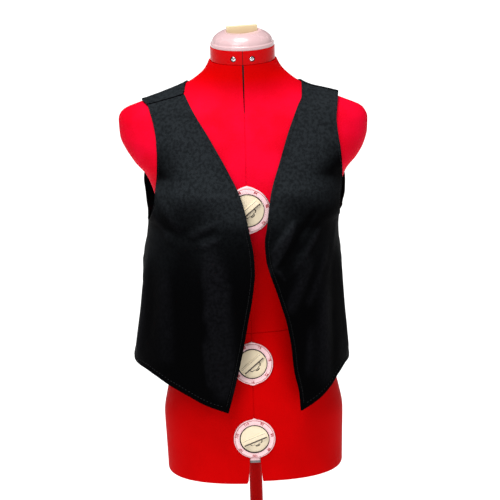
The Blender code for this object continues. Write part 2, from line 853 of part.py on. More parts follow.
def yoke_across(j, count):
    """How far across each column of the back stands on the yoke line."""
    right, left = RIGHT_BACK_ARMHOLE[-1].across, LEFT_BACK_ARMHOLE[-1].across
    if j <= FRONT_ACROSS:
        return right + (-YOKE_NECK - right) * j / FRONT_ACROSS
    if j >= count - FRONT_ACROSS:
        return left + (YOKE_NECK - left) * (count - j) / FRONT_ACROSS
    side, mark = neck_mark(j)
    return side * YOKE_NECK * mark.width_share


def yoke_end(j, count, right_seam, left_seam):
    """Where a column of the back ends: on a shoulder seam or the neck edge."""
    if j <= FRONT_ACROSS:
        shoulder, k, seam = RIGHT_SHOULDER, FRONT_ACROSS - j, right_seam
    elif j >= count - FRONT_ACROSS:
        shoulder, k, seam = LEFT_SHOULDER, j - (count - FRONT_ACROSS), left_seam
    else:
        side, mark = neck_mark(j)
        shoulder = RIGHT_SHOULDER if side < 0 else LEFT_SHOULDER
        return shoulder.neck_across * mark.width_share, mark.turn, None
    share = k / FRONT_ACROSS
    across = shoulder.neck_across + (shoulder.arm_across - shoulder.neck_across) * share
    angle = shoulder.neck_turn + (shoulder.arm_turn - shoulder.neck_turn) * share
    return across, angle, seam[k]


def settle(panels, form_tree):
    """Lifts the panels' points until no face comes nearer the form than the
    cloth's least clearance. Points that panels share at a seam stay shared."""
    place_of, places, grids = {}, [], []
    for rows in panels:
        grid = []
        for row in rows:
            line = []
            for point in row:
                key = tuple(round(value, 6) for value in point)
                if key not in place_of:
                    place_of[key] = len(places)
                    places.append(point.copy())
                line.append(place_of[key])
            grid.append(line)
        grids.append(grid)
    quads = [
        (grid[i][j], grid[i][j + 1], grid[i + 1][j + 1], grid[i + 1][j])
        for grid in grids
        for i in range(len(grid) - 1)
        for j in range(len(grid[0]) - 1)
    ]
    blends = [
        ((1 - u) * (1 - v), u * (1 - v), u * v, (1 - u) * v)
        for u in SETTLE_PLACES
        for v in SETTLE_PLACES
    ]
    for s in SETTLE_PLACES[1:-1]:
        blends += [(1 - s, 0, s, 0), (0, 1 - s, 0, s)]
    for _ in range(SETTLE_ROUNDS):
        push = [Vector() for _ in places]
        for quad in quads:
            corners = [places[k] for k in quad]
            for blend in blends:
                sample = sum((c * weight for c, weight in zip(corners, blend)), Vector())
                nearest, normal, _, _ = form_tree.find_nearest(sample)
                short = CLOTH_CLEAR - (sample - nearest).dot(normal)
                if short <= 0:
                    continue
                for k, weight in zip(quad, blend):
                    if weight > SETTLE_SHARE and short > push[k].length:
                        push[k] = normal * short
        if not any(p.length > 0 for p in push):
            break
        for k, p in enumerate(push):
            places[k] += p
    return [[[places[k] for k in line] for line in grid] for grid in grids]


def part_from_seam(rows, seams):
    """Moves a panel's seam points half the seam's gap into the panel."""
    moved = [list(row) for row in rows]
    for i, j, inner_i, inner_j in seams:
        towards = rows[inner_i][inner_j] - rows[i][j]
        moved[i][j] = rows[i][j] + towards.normalized() * (SEAM_GAP / 2)
    return moved


def panel(name, rows, flip):
    """A panel of cloth, from the rows of its inner face."""
    wide = len(rows[0])
    points = [p for row in rows for p in row]
    faces = []
    for i in range(len(rows) - 1):
        for j in range(wide - 1):
            a, b = i * wide + j, i * wide + j + 1
            quad = (a, b, b + wide, a + wide)
            faces.append(quad[::-1] if flip else quad)
    made = add_object(name, mesh_from(name, points, faces), BLACK_CLOTH)
    wall = made.modifiers.new("cloth wall", "SOLIDIFY")
    wall.thickness = CLOTH_WALL
    wall.offset = 1.0
    wall.use_even_offset = False
    return made


def build_vest():
    """The two fronts and the back, which meet at the side and shoulder seams."""
    right_seam = seam_points(RIGHT_SHOULDER, FRONT_ACROSS)
    left_seam = seam_points(LEFT_SHOULDER, FRONT_ACROSS)
    right = front_panel(
        -1, RIGHT_FRONT_EDGE, RIGHT_FRONT_ARMHOLE, RIGHT_UNDERARM, right_seam
    )
    left = front_panel(1, LEFT_FRONT_EDGE, LEFT_FRONT_ARMHOLE, LEFT_UNDERARM, left_seam)
    back = back_panel(right_seam, left_seam)
    points, faces = form_mesh()
    right, left, back = settle((right, left, back), BVHTree.FromPolygons(points, faces))

    side_rows = range(FRONT_LOWER + 1)
    top, last = len(right) - 1, FRONT_ACROSS
    seams = [(i, last, i, last - 1) for i in side_rows]
    seams += [(top, j, top - 1, j) for j in range(last + 1)]
    panel("vest_front_right", part_from_seam(right, seams), flip=True)
    panel("vest_front_left", part_from_seam(left, seams), flip=False)

    top, last = len(back) - 1, len(back[0]) - 1
    seams = [(i, 0, i, 1) for i in side_rows]
    seams += [(i, last, i, last - 1) for i in side_rows]
    for j in list(range(FRONT_ACROSS + 1)) + list(range(last - FRONT_ACROSS, last + 1)):
        seams.append((top, j, top - 1, j))
    panel("vest_back", part_from_seam(back, seams), flip=True)


# Dress form
def form_mesh():
    """The points and faces of the form's torso, before anything is cut."""
    rings = []
    low = FORM_HEIGHTS[0]
    rounding = ((FORM_EDGE_ROUND, FORM_BOTTOM), (FORM_EDGE_ROUND * 0.3, FORM_BOTTOM + 0.0012))
    for inset, height in rounding:
        ring = []
        for k in range(FORM_SIDES):
            turn = 360 * k / FORM_SIDES
            place = form_point(turn, low)
            shrink = 1 - inset / Vector((place.x, place.y)).length
            step = PANEL_STEP * smooth_step(place.x, -0.010, 0.010)
            ring.append(Vector((place.x * shrink, place.y * shrink, height + step)))
        rings.append(ring)
    for height in FORM_HEIGHTS:
        rings.append([form_point(360 * k / FORM_SIDES, height) for k in range(FORM_SIDES)])
    points = [p for ring in rings for p in ring]
    faces = [tuple(range(FORM_SIDES))[::-1]]
    for i in range(len(rings) - 1):
        for k in range(FORM_SIDES):
            a, b = i * FORM_SIDES + k, i * FORM_SIDES + (k + 1) % FORM_SIDES
            faces.append((a, b, b + FORM_SIDES))
            faces.append((a, b + FORM_SIDES, a + FORM_SIDES))
    top = (len(rings) - 1) * FORM_SIDES
    faces.append(tuple(range(top, top + FORM_SIDES)))
    return points, faces


def build_torso():
    """The form itself, with the pole's bore and the gaps at its front."""
    points, faces = form_mesh()
    torso = add_object("torso", mesh_from("torso", points, faces), RED_JERSEY)
    bore_top = POLE_TOP + FACE_GAP
    cut(torso, cylinder_cutter("pole_bore", POLE_BORE, FORM_BOTTOM - 0.02, bore_top, POLE_SIDES))
    cut(torso, prism_cutter("front_slot", both_halves(FRONT_SLOT), *FRONT_SLOT_RUN))
    cut(torso, prism_cutter("neck_gap", both_halves(NECK_GAP), *NECK_GAP_RUN))
    return torso


def dial_frame(height):
    """Where a dial sits: its middle, and its axis straight out of the form."""
    out = form_normal(0, height)
    out = Vector((0, out.y, out.z)).normalized()
    side = Vector((1, 0, 0))
    up = out.cross(side)
    frame = Matrix((side, up, out)).transposed().to_4x4()
    frame.translation = form_point(0, height)
    return frame


def build_dial(dial, torso):
    """A dial's ring and disc, and the pocket that they sit in."""
    frame = dial_frame(dial.height)
    pocket = cylinder_cutter(f"{dial.name}_pocket", dial.radius + FACE_GAP, -DIAL_SUNK - FACE_GAP, 0.02)
    pocket.matrix_world = frame
    cut(torso, pocket)
    back, front = -DIAL_SUNK, DIAL_PROUD
    ring = turned_ring(
        f"dial_ring_{dial.name}",
        [
            (dial.disc_radius + FACE_GAP, front - 0.0006),
            (dial.disc_radius + 0.0010, front),
            (dial.radius - RING_SLOPE, front),
            (dial.radius - RING_SLOPE / 5, front - RING_SLOPE * 0.4),
            (dial.radius, front - RING_SLOPE),
            (dial.radius, back),
            (dial.disc_radius + FACE_GAP, back),
        ],
        PINK_PLASTIC,
        36,
    )
    ring.matrix_world = frame
    disc = turned(
        f"dial_disc_{dial.name}",
        [(0, DISC_PROUD), (dial.disc_radius - DISC_EDGE, DISC_PROUD),
         (dial.disc_radius, DISC_PROUD - DISC_EDGE), (dial.disc_radius, back), (0, back)],
        CREAM_PLASTIC,
        36,
    )
    turned_frame = frame @ Matrix.Rotation(math.radians(dial.grip_angle), 4, "Z")
    disc.matrix_world = turned_frame
    reach = dial.disc_radius - DIAL_GRIP_INSIDE
    grip = box_cutter(
        f"{dial.name}_grip", (-reach, -DIAL_GRIP_HALF, DIAL_HOLLOW_FLOOR - 0.002),
        (reach, DIAL_GRIP_HALF, DIAL_GRIP_PROUD),
    )
    grip.matrix_world = turned_frame
    hollow = box_cutter(
        f"{dial.name}_hollow", (-0.030, -0.030, DIAL_HOLLOW_FLOOR), (0.030, -DIAL_GRIP_HALF, 0.010)
    )
    hollow.matrix_world = turned_frame
    cut(disc, grip, "UNION")
    cut(disc, hollow)


def build_neck():
    """The band round the neck with its screws, and the cap with its grip."""
    band = turned_ring(
        "neck_band",
        [
            (BAND_INNER, BAND_TOP - BAND_EDGE),
            (BAND_INNER + BAND_EDGE, BAND_TOP),
            (BAND_RADIUS - BAND_EDGE, BAND_TOP),
            (BAND_RADIUS, BAND_TOP - BAND_EDGE),
            (BAND_RADIUS, NECK_TOP + FACE_GAP),
            (BAND_INNER, NECK_TOP + FACE_GAP),
        ],
        RED_PLASTIC,
    )
    for side, name in ((-1, "right"), (1, "left")):
        turn = math.radians(SCREW_TURN * side)
        out = Vector((math.sin(turn), -math.cos(turn), 0))
        frame = facing_out(out, out * BAND_RADIUS + Vector((0, 0, SCREW_HEIGHT)))
        hole = cylinder_cutter(f"screw_hole_{name}", SCREW_HOLE, -SCREW_SUNK, 0.004, 20)
        hole.matrix_world = frame
        cut(band, hole)
        screw = turned(
            f"neck_screw_{name}",
            [(0, -0.0002), (0.0024, -0.0003), (SCREW_RADIUS, -0.0012),
             (SCREW_RADIUS, FACE_GAP - SCREW_SUNK), (0, FACE_GAP - SCREW_SUNK)],
            CHROME,
            20,
        )
        screw.matrix_world = frame
    base = BAND_TOP + FACE_GAP
    dome_base = base + CAP_LIP
    profile = []
    for i in range(9):
        angle = math.radians(90 - 10.6 * i)
        profile.append((DOME_RADIUS * math.cos(angle), dome_base + DOME_RISE * math.sin(angle)))
    profile[0] = (0, dome_base + DOME_RISE)
    profile += [(CAP_RADIUS - CAP_LIP_EDGE, dome_base), (CAP_RADIUS, dome_base - CAP_LIP_EDGE),
                (CAP_RADIUS, base), (0, base)]
    cap = turned("neck_cap", profile, PINK_PLASTIC)
    half = GRIP_LENGTH / 2
    grip_frame = Matrix.Rotation(math.radians(GRIP_TURN), 4, "Z")
    slot = box_cutter(
        "grip_slot", (-half - FACE_GAP, -GRIP_DEPTH / 2 - FACE_GAP, GRIP_SEAT - FACE_GAP),
        (half + FACE_GAP, GRIP_DEPTH / 2 + FACE_GAP, CAP_TOP),
    )
    slot.matrix_world = grip_frame
    cut(cap, slot)
    for number, hollow in enumerate(FINGER_HOLLOWS):
        name = f"finger_hollow_{number}"
        mesh = bpy.data.meshes.new(name)
        ball = bmesh.new()
        bmesh.ops.create_uvsphere(ball, u_segments=20, v_segments=12, radius=1.0)
        bmesh.ops.scale(ball, verts=ball.verts, vec=(hollow.length, hollow.depth, hollow.rise))
        bmesh.ops.translate(ball, verts=ball.verts, vec=(0, hollow.off, hollow.height))
        ball.to_mesh(mesh)
        ball.free()
        made = as_cutter(add_object(name, mesh, None, cutters))
        made.matrix_world = grip_frame
        cut(cap, made)
    outline = box_outline((-half, 0, GRIP_SEAT), (half, 0, GRIP_TOP))
    mesh = prism_mesh("neck_grip", outline, -GRIP_DEPTH / 2, GRIP_DEPTH / 2)
    grip = add_object("neck_grip", mesh, CREAM_PLASTIC)
    grip.matrix_world = grip_frame
    edges = grip.modifiers.new("rounded", "BEVEL")
    edges.width = GRIP_ROUND
    edges.segments = 2


def build_stand():
    """The foot, the sleeve tube on it, the pole in the sleeve, and the clamp."""
    turned(
        "foot",
        [(0, FOOT_FLOOR), (SLEEVE_RADIUS + FACE_GAP, FOOT_FLOOR), (SLEEVE_RADIUS + FACE_GAP, HUB_TOP),
         (HUB_RADIUS - 0.0015, HUB_TOP), (HUB_RADIUS, HUB_TOP - 0.0015), (HUB_FOOT_RADIUS, 0.024)]
        + FOOT_SLOPE
        + [(FOOT_RADIUS, FOOT_RIM), (FOOT_RADIUS, 0), (0, 0)],
        DARK_METAL,
        44,
    )
    turned_ring(
        "sleeve",
        [(POLE_BORE, SLEEVE_TOP), (SLEEVE_RADIUS, SLEEVE_TOP), (SLEEVE_RADIUS, FOOT_FLOOR + FACE_GAP),
         (POLE_BORE, FOOT_FLOOR + FACE_GAP)],
        DARK_METAL,
        POLE_SIDES,
    )
    turned(
        "pole",
        [(0, POLE_TOP), (POLE_RADIUS, POLE_TOP), (POLE_RADIUS, FOOT_FLOOR + FACE_GAP),
         (0, FOOT_FLOOR + FACE_GAP)],
        POLE_PAINT,
        POLE_SIDES,
    )
    turned_ring(
        "clamp_collar",
        [(POLE_BORE, COLLAR_TOP), (COLLAR_RADIUS - COLLAR_EDGE, COLLAR_TOP),
         (COLLAR_RADIUS, COLLAR_TOP - COLLAR_EDGE), (COLLAR_RADIUS, COLLAR_BOTTOM),
         (SLEEVE_RADIUS + FACE_GAP, COLLAR_BOTTOM), (SLEEVE_RADIUS + FACE_GAP, SLEEVE_TOP + FACE_GAP),
         (POLE_BORE, SLEEVE_TOP + FACE_GAP)],
        DARK_METAL,
        POLE_SIDES,
    )
    knob = turned(
        "clamp_knob",
        [(0, KNOB_LENGTH), (KNOB_RADIUS - KNOB_EDGE, KNOB_LENGTH), (KNOB_RADIUS, KNOB_LENGTH - KNOB_EDGE),
         (KNOB_RADIUS, KNOB_GRIP_BACK + KNOB_EDGE), (KNOB_RADIUS - KNOB_EDGE, KNOB_GRIP_BACK),
         (KNOB_SHANK_RADIUS, KNOB_SHANK_FRONT), (KNOB_SHANK_END, FACE_GAP), (0, FACE_GAP)],
        DARK_METAL,
        24,
    )
    middle = Vector((0, COLLAR_RADIUS, (COLLAR_BOTTOM + SLEEVE_TOP) / 2))
    knob.matrix_world = facing_out(Vector((0, 1, 0)), middle)


def build_slot_guide():
    """The tab that keeps the form's two halves in line, across the top of the slot."""
    mesh = prism_mesh("slot_guide", both_halves(SLOT_GUIDE), SLOT_GUIDE_FRONT, SLOT_GUIDE_BACK)
    add_object("slot_guide", mesh, PINK_PLASTIC)


build_vest()
form_body = build_torso()
for each in DIALS:
    build_dial(each, form_body)
build_slot_guide()
build_neck()
build_stand()
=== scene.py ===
"""Looks of a sleeveless, open-front vest on an adjustable, limbless dress form.

All pieces are in metres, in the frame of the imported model: Z is up, the front faces -Y and
the wearer's right is at -X. The cloth is drafted again from the same sections and border
marks as its solids, finer, with its creases, pressed edges and stitches.
"""

import logging
import math
from dataclasses import dataclass
from enum import Enum
from typing import Callable, NamedTuple, Sequence

import bmesh
import bpy
import numpy as np
from mathutils import Matrix, Vector

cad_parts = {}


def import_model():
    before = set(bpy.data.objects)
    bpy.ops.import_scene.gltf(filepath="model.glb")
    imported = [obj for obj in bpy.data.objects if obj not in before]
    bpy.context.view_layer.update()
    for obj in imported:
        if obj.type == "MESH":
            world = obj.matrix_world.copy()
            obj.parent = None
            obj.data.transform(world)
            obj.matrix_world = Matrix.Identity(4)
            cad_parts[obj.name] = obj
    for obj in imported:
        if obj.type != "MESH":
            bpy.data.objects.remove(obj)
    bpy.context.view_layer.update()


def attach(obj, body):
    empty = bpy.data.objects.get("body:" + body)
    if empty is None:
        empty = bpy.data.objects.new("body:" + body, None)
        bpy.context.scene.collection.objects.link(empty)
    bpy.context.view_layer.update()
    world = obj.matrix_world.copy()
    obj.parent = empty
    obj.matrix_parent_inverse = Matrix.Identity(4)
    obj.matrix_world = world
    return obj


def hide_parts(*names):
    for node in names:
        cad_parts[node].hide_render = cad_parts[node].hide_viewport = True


log = logging.getLogger("vest")

Array = np.ndarray
Colour = tuple[float, float, float]
Material = bpy.types.Material
Piece = bpy.types.Object

SEAM_GAP = 0.0003
FACE_GAP = 0.0003
CLOTH_WALL = 0.0016
CLOTH_REST = 0.0013
BODY_RADIUS = 0.155
NECK_TOP = 1.3120
FORM_BOTTOM = 0.5985


class Section(NamedTuple):
    """A level section of the dress form."""

    height: float
    half_width: float
    front: float
    back: float
    squareness: float


class HangingSection(NamedTuple):
    """A level section of the cloth where it hangs clear of the form."""

    height: float
    right_side: float
    left_side: float
    front: float
    back: float
    squareness: float


class Mark(NamedTuple):
    """A border's place: how far across from the middle it stands at a height."""

    height: float
    across: float


class HemMark(NamedTuple):
    """The hem's height at a turn in degrees round from the centre front."""

    turn: float
    height: float


class Shoulder(NamedTuple):
    """A shoulder seam: its ends across, and their turns over the shoulder's ridge."""

    neck_across: float
    arm_across: float
    neck_turn: float
    arm_turn: float
    ridge_arm_across: float
    lift: float
    lift_start: float
    lift_end: float


class Fold(NamedTuple):
    """A soft ridge, or a trough where its lift is negative, between two places."""

    turn_a: float
    height_a: float
    turn_b: float
    height_b: float
    half_width: float
    lift: float


def table_rows(kind: type, *values: tuple) -> tuple:
    """A table's rows, each a named tuple of one kind."""
    return tuple(kind(*value) for value in values)


FORM_SECTIONS = table_rows(
    Section,
    (0.5985, 0.1505, 0.1095, 0.112, 2.40), (0.650, 0.1520, 0.1115, 0.118, 2.35),
    (0.700, 0.1535, 0.113, 0.121, 2.30), (0.734, 0.1480, 0.1142, 0.119, 2.25),
    (0.780, 0.1360, 0.112, 0.106, 2.20), (0.820, 0.1255, 0.105, 0.092, 2.15),
    (0.867, 0.1165, 0.097, 0.079, 2.10), (0.910, 0.1175, 0.096, 0.079, 2.10),
    (0.960, 0.1280, 0.100, 0.088, 2.15), (1.020, 0.1430, 0.108, 0.096, 2.20),
    (1.070, 0.1515, 0.112, 0.099, 2.25), (1.100, 0.1590, 0.112, 0.100, 2.25),
    (1.125, 0.1700, 0.109, 0.099, 2.20), (1.146, 0.1880, 0.105, 0.097, 2.15),
    (1.165, 0.1985, 0.100, 0.093, 2.10), (1.190, 0.2050, 0.092, 0.087, 2.05),
    (1.212, 0.2060, 0.082, 0.079, 2.00), (1.229, 0.1985, 0.074, 0.072, 1.90),
    (1.243, 0.1690, 0.067, 0.066, 1.72), (1.256, 0.1350, 0.062, 0.061, 1.62),
    (1.270, 0.1010, 0.0585, 0.0575, 1.67), (1.283, 0.0800, 0.0565, 0.0560, 1.80),
    (1.297, 0.0650, 0.0555, 0.0550, 1.95), (1.3105, 0.0575, 0.0555, 0.0550, 2.00),
    (1.3150, 0.0560, 0.0550, 0.0550, 2.00),
)

HANGING_SECTIONS = table_rows(
    HangingSection,
    (0.730, 0.2060, 0.1675, 0.137, 0.1230, 2.40), (0.797, 0.2010, 0.1645, 0.138, 0.1200, 2.40),
    (0.890, 0.1870, 0.1575, 0.137, 0.1110, 2.40), (0.970, 0.1775, 0.1543, 0.136, 0.1065, 2.40),
    (1.020, 0.1690, 0.1515, 0.1355, 0.1045, 2.40), (1.045, 0.1665, 0.1535, 0.1345, 0.1035, 2.40),
    (1.060, 0.1720, 0.1610, 0.1335, 0.1037, 2.38), (1.085, 0.1820, 0.1705, 0.1310, 0.1040, 2.35),
    (1.120, 0.1950, 0.1800, 0.1260, 0.1035, 2.30), (1.160, 0.2030, 0.2000, 0.1080, 0.0980, 2.10),
)

RIGHT_FRONT_EDGE = table_rows(
    Mark,
    (0.7375, -0.0420), (0.7810, -0.0300), (0.8370, -0.0165), (0.8920, -0.0050),
    (0.9470, 0.0055), (0.9820, 0.0092), (1.0090, 0.0082), (1.0430, 0.0030),
    (1.0960, -0.0080), (1.1470, -0.0310), (1.1970, -0.0595), (1.2400, -0.0875),
)
LEFT_FRONT_EDGE = table_rows(
    Mark,
    (0.7355, 0.0785), (0.7640, 0.0770), (0.8070, 0.0692), (0.8485, 0.0658),
    (0.8904, 0.0590), (0.9461, 0.0434), (0.9739, 0.0350), (1.0016, 0.0283),
    (1.0289, 0.0268), (1.0558, 0.0311), (1.1074, 0.0392), (1.1572, 0.0552),
    (1.2051, 0.0716), (1.2440, 0.0893), (1.2545, 0.0955),
)
RIGHT_FRONT_ARMHOLE = table_rows(
    Mark,
    (1.0508, -0.1655), (1.0640, -0.1600), (1.0880, -0.1530), (1.1070, -0.1505),
    (1.1380, -0.1470), (1.1670, -0.1460), (1.1930, -0.1470), (1.2180, -0.1515),
)
LEFT_FRONT_ARMHOLE = table_rows(
    Mark,
    (1.0430, 0.1540), (1.0560, 0.1530), (1.0880, 0.1545), (1.1120, 0.1580),
    (1.1370, 0.1585), (1.1720, 0.1565), (1.1990, 0.1530), (1.2200, 0.1515),
)
RIGHT_BACK_ARMHOLE = table_rows(
    Mark,
    (1.0520, -0.1672), (1.0660, -0.1692), (1.0850, -0.1705), (1.1050, -0.1718),
    (1.1300, -0.1690), (1.1600, -0.1620), (1.1900, -0.1580),
)
LEFT_BACK_ARMHOLE = table_rows(
    Mark,
    (1.0440, 0.1545), (1.0580, 0.1595), (1.0780, 0.1645), (1.1000, 0.1655),
    (1.1300, 0.1590), (1.1600, 0.1500), (1.1900, 0.1465),
)
RIGHT_HEM = table_rows(
    HemMark,
    (9.0, 0.7375), (19.5, 0.7520), (27.8, 0.7655), (42.5, 0.7850),
    (51.0, 0.7945), (62.5, 0.8015), (90.0, 0.8040), (180.0, 0.8010),
)
LEFT_HEM = table_rows(
    HemMark,
    (25.0, 0.7355), (37.8, 0.7510), (48.6, 0.7680), (58.0, 0.7840),
    (73.0, 0.7950), (90.0, 0.7940), (180.0, 0.8010),
)
RIGHT_SHOULDER = Shoulder(-0.0993, -0.1615, 114.0, 115.0, -0.1695, 0.0004, 0.140, 0.172)
LEFT_SHOULDER = Shoulder(0.0956, 0.1550, 92.0, 92.0, 0.1552, 0.0052, 0.104, 0.152)
RIGHT_UNDERARM = 1.0480
LEFT_UNDERARM = 1.0400
# The back's neck edge from each shoulder to the middle: its turn over the shoulder and
# how far across it stands, as a share of the shoulder's neck point
RIGHT_BACK_NECK = (
    (105.0, 1.001), (96.0, 0.980), (85.0, 0.954), (73.0, 0.904), (61.0, 0.811), (49.5, 0.594),
    (42.0, 0.302), (40.0, 0.0),
)
LEFT_BACK_NECK = (
    (87.0, 0.988), (81.0, 0.966), (74.0, 0.936), (67.0, 0.890), (59.0, 0.810), (49.5, 0.612),
    (42.0, 0.311), (40.0, 0.0),
)

FOLDS = table_rows(
    Fold,
    (-21, 1.020, -14, 0.775, 0.020, 0.0040), (-35, 1.000, -31, 0.800, 0.018, -0.0028),
    (-50, 0.985, -47, 0.830, 0.020, 0.0022), (-71, 0.990, -74, 0.835, 0.017, 0.0042),
    (-86, 0.960, -88, 0.820, 0.014, -0.0026), (24, 1.050, 11, 0.975, 0.0095, 0.0028),
    (30, 1.020, 16, 0.945, 0.0110, -0.0026), (36, 0.995, 22, 0.915, 0.0120, 0.0030),
    (47, 0.950, 42, 0.790, 0.0190, 0.0034), (60, 1.000, 60, 0.850, 0.0170, -0.0022),
    (76, 0.985, 79, 0.820, 0.0180, 0.0036), (-108, 0.990, -112, 0.825, 0.0200, 0.0040),
    (-131, 1.010, -136, 0.815, 0.0230, -0.0030), (-152, 1.030, -157, 0.820, 0.0240, 0.0052),
    (176, 1.060, 179, 0.830, 0.0260, -0.0036), (149, 1.020, 153, 0.830, 0.0250, 0.0045),
    (124, 0.980, 121, 0.815, 0.0210, -0.0028), (104, 0.995, 106, 0.830, 0.0190, 0.0034),
)

# Smaller creases, uneven in length, depth and spacing. The front's are where they show,
# and the sides and back have similar ones.
CREASES = table_rows(
    Fold,
    (-27, 1.026, -17, 1.036, 0.0050, 0.0011), (-33, 1.040, -20, 1.060, 0.0070, 0.0010),
    (-62, 1.120, -40, 1.050, 0.0085, 0.0009), (-66, 1.085, -47, 1.030, 0.0075, 0.0010),
    (-12, 0.960, -24, 0.905, 0.0085, 0.0009), (-26, 0.870, -23, 0.790, 0.0090, 0.0011),
    (-57, 0.940, -60, 0.860, 0.0085, -0.0010), (27, 1.062, 13, 1.010, 0.0055, 0.0016),
    (40, 1.075, 17, 0.985, 0.0060, -0.0013), (44, 1.045, 20, 0.962, 0.0065, 0.0016),
    (16, 0.985, 19, 0.966, 0.0055, 0.0018), (52, 1.010, 33, 0.920, 0.0080, 0.0012),
    (66, 1.040, 50, 0.960, 0.0090, 0.0010), (34, 0.880, 31, 0.800, 0.0085, 0.0010),
    (54, 0.900, 51, 0.810, 0.0090, -0.0009), (70, 0.930, 73, 0.850, 0.0080, 0.0010),
    (-97, 1.010, -84, 0.960, 0.0075, 0.0013), (-101, 0.945, -86, 0.905, 0.0080, -0.0011),
    (97, 1.000, 84, 0.955, 0.0070, 0.0012), (102, 0.930, 90, 0.880, 0.0085, 0.0010),
    (-122, 1.090, -138, 1.020, 0.0100, 0.0012), (-118, 1.040, -133, 0.960, 0.0085, 0.0012),
    (-144, 0.930, -140, 0.840, 0.0095, 0.0011), (-167, 1.130, -158, 1.050, 0.0110, 0.0010),
    (-171, 0.960, -166, 0.870, 0.0090, 0.0012), (166, 1.100, 158, 1.010, 0.0105, 0.0012),
    (164, 0.940, 168, 0.850, 0.0095, -0.0010), (138, 1.080, 128, 1.000, 0.0095, 0.0013),
    (134, 0.960, 137, 0.880, 0.0090, 0.0011), (112, 1.060, 120, 0.990, 0.0080, 0.0010),
)


def smooth_step(value: Array, low: float, high: float) -> Array:
    """0 below one value and 1 above another, with a smooth rise between."""
    share = np.clip((np.asarray(value, float) - low) / (high - low), 0.0, 1.0)
    return share * share * (3 - 2 * share)


class SmoothCurve:
    """A smooth function through points that never runs past them."""

    def __init__(self, places: Sequence[float], values: Sequence[float]) -> None:
        """Works out the curve's slopes.

        Args:
            places: The places of the points, rising.
            values: The value at each place.
        """
        self.x = np.asarray(places, float)
        self.y = np.asarray(values, float)
        step = np.diff(self.x)
        slope = np.diff(self.y) / step
        tangent = np.zeros_like(self.y)
        tangent[0], tangent[-1] = slope[0], slope[-1]
        for i in range(1, len(self.x) - 1):
            if slope[i - 1] * slope[i] > 0:
                before, after = 2 * step[i] + step[i - 1], step[i] + 2 * step[i - 1]
                tangent[i] = (before + after) / (before / slope[i - 1] + after / slope[i])
        self.step, self.tangent = step, tangent

    def __call__(self, place: Array) -> Array:
        """The curve's values at one or more places."""
        place = np.clip(np.asarray(place, float), self.x[0], self.x[-1])
        i = np.clip(np.searchsorted(self.x, place, side="right") - 1, 0, len(self.step) - 1)
        step, s = self.step[i], (place - self.x[i]) / self.step[i]
        return (
            (2 * s**3 - 3 * s**2 + 1) * self.y[i]
            + (s**3 - 2 * s**2 + s) * step * self.tangent[i]
            + (3 * s**2 - 2 * s**3) * self.y[i + 1]
            + (s**3 - s**2) * step * self.tangent[i + 1]
        )


def columns(table: Sequence[tuple]) -> dict[str, SmoothCurve]:
    """One smooth curve by height for each named column of a table of sections."""
    heights = [row.height for row in table]
    return {
        name: SmoothCurve(heights, [getattr(row, name) for row in table])
        for name in table[0]._fields[1:]
    }


def stack(*parts: Array) -> Array:
    """Points from their X, Y and Z, made the same shape."""
    return np.stack(np.broadcast_arrays(*parts), axis=-1).astype(float)


def unit(vectors: Array) -> Array:
    """The vectors at length 1."""
    return vectors / np.maximum(np.linalg.norm(vectors, axis=-1, keepdims=True), 1e-12)


def run_along(line: Array) -> Array:
    """Each point's distance along a line of points."""
    return np.concatenate([[0.0], np.cumsum(np.linalg.norm(np.diff(line, axis=0), axis=1))])


def points_at(places: Array, run: Array, line: Array) -> Array:
    """The points, or directions, of a line at distances along it."""
    return np.stack([np.interp(places, run, line[:, k]) for k in range(3)], axis=-1)


def round_section(
    turn: Array, half_width: Array, front: Array, back: Array, squareness: Array
) -> tuple[Array, Array]:
    """How far across and how deep a rounded section's points are, by turn."""
    s, c = np.sin(np.radians(turn)), np.cos(np.radians(turn))
    power = 2 / squareness
    across = half_width * np.sign(s) * np.abs(s) ** power
    deep = np.where(c >= 0, -front, back) * np.abs(c) ** power
    return across, deep


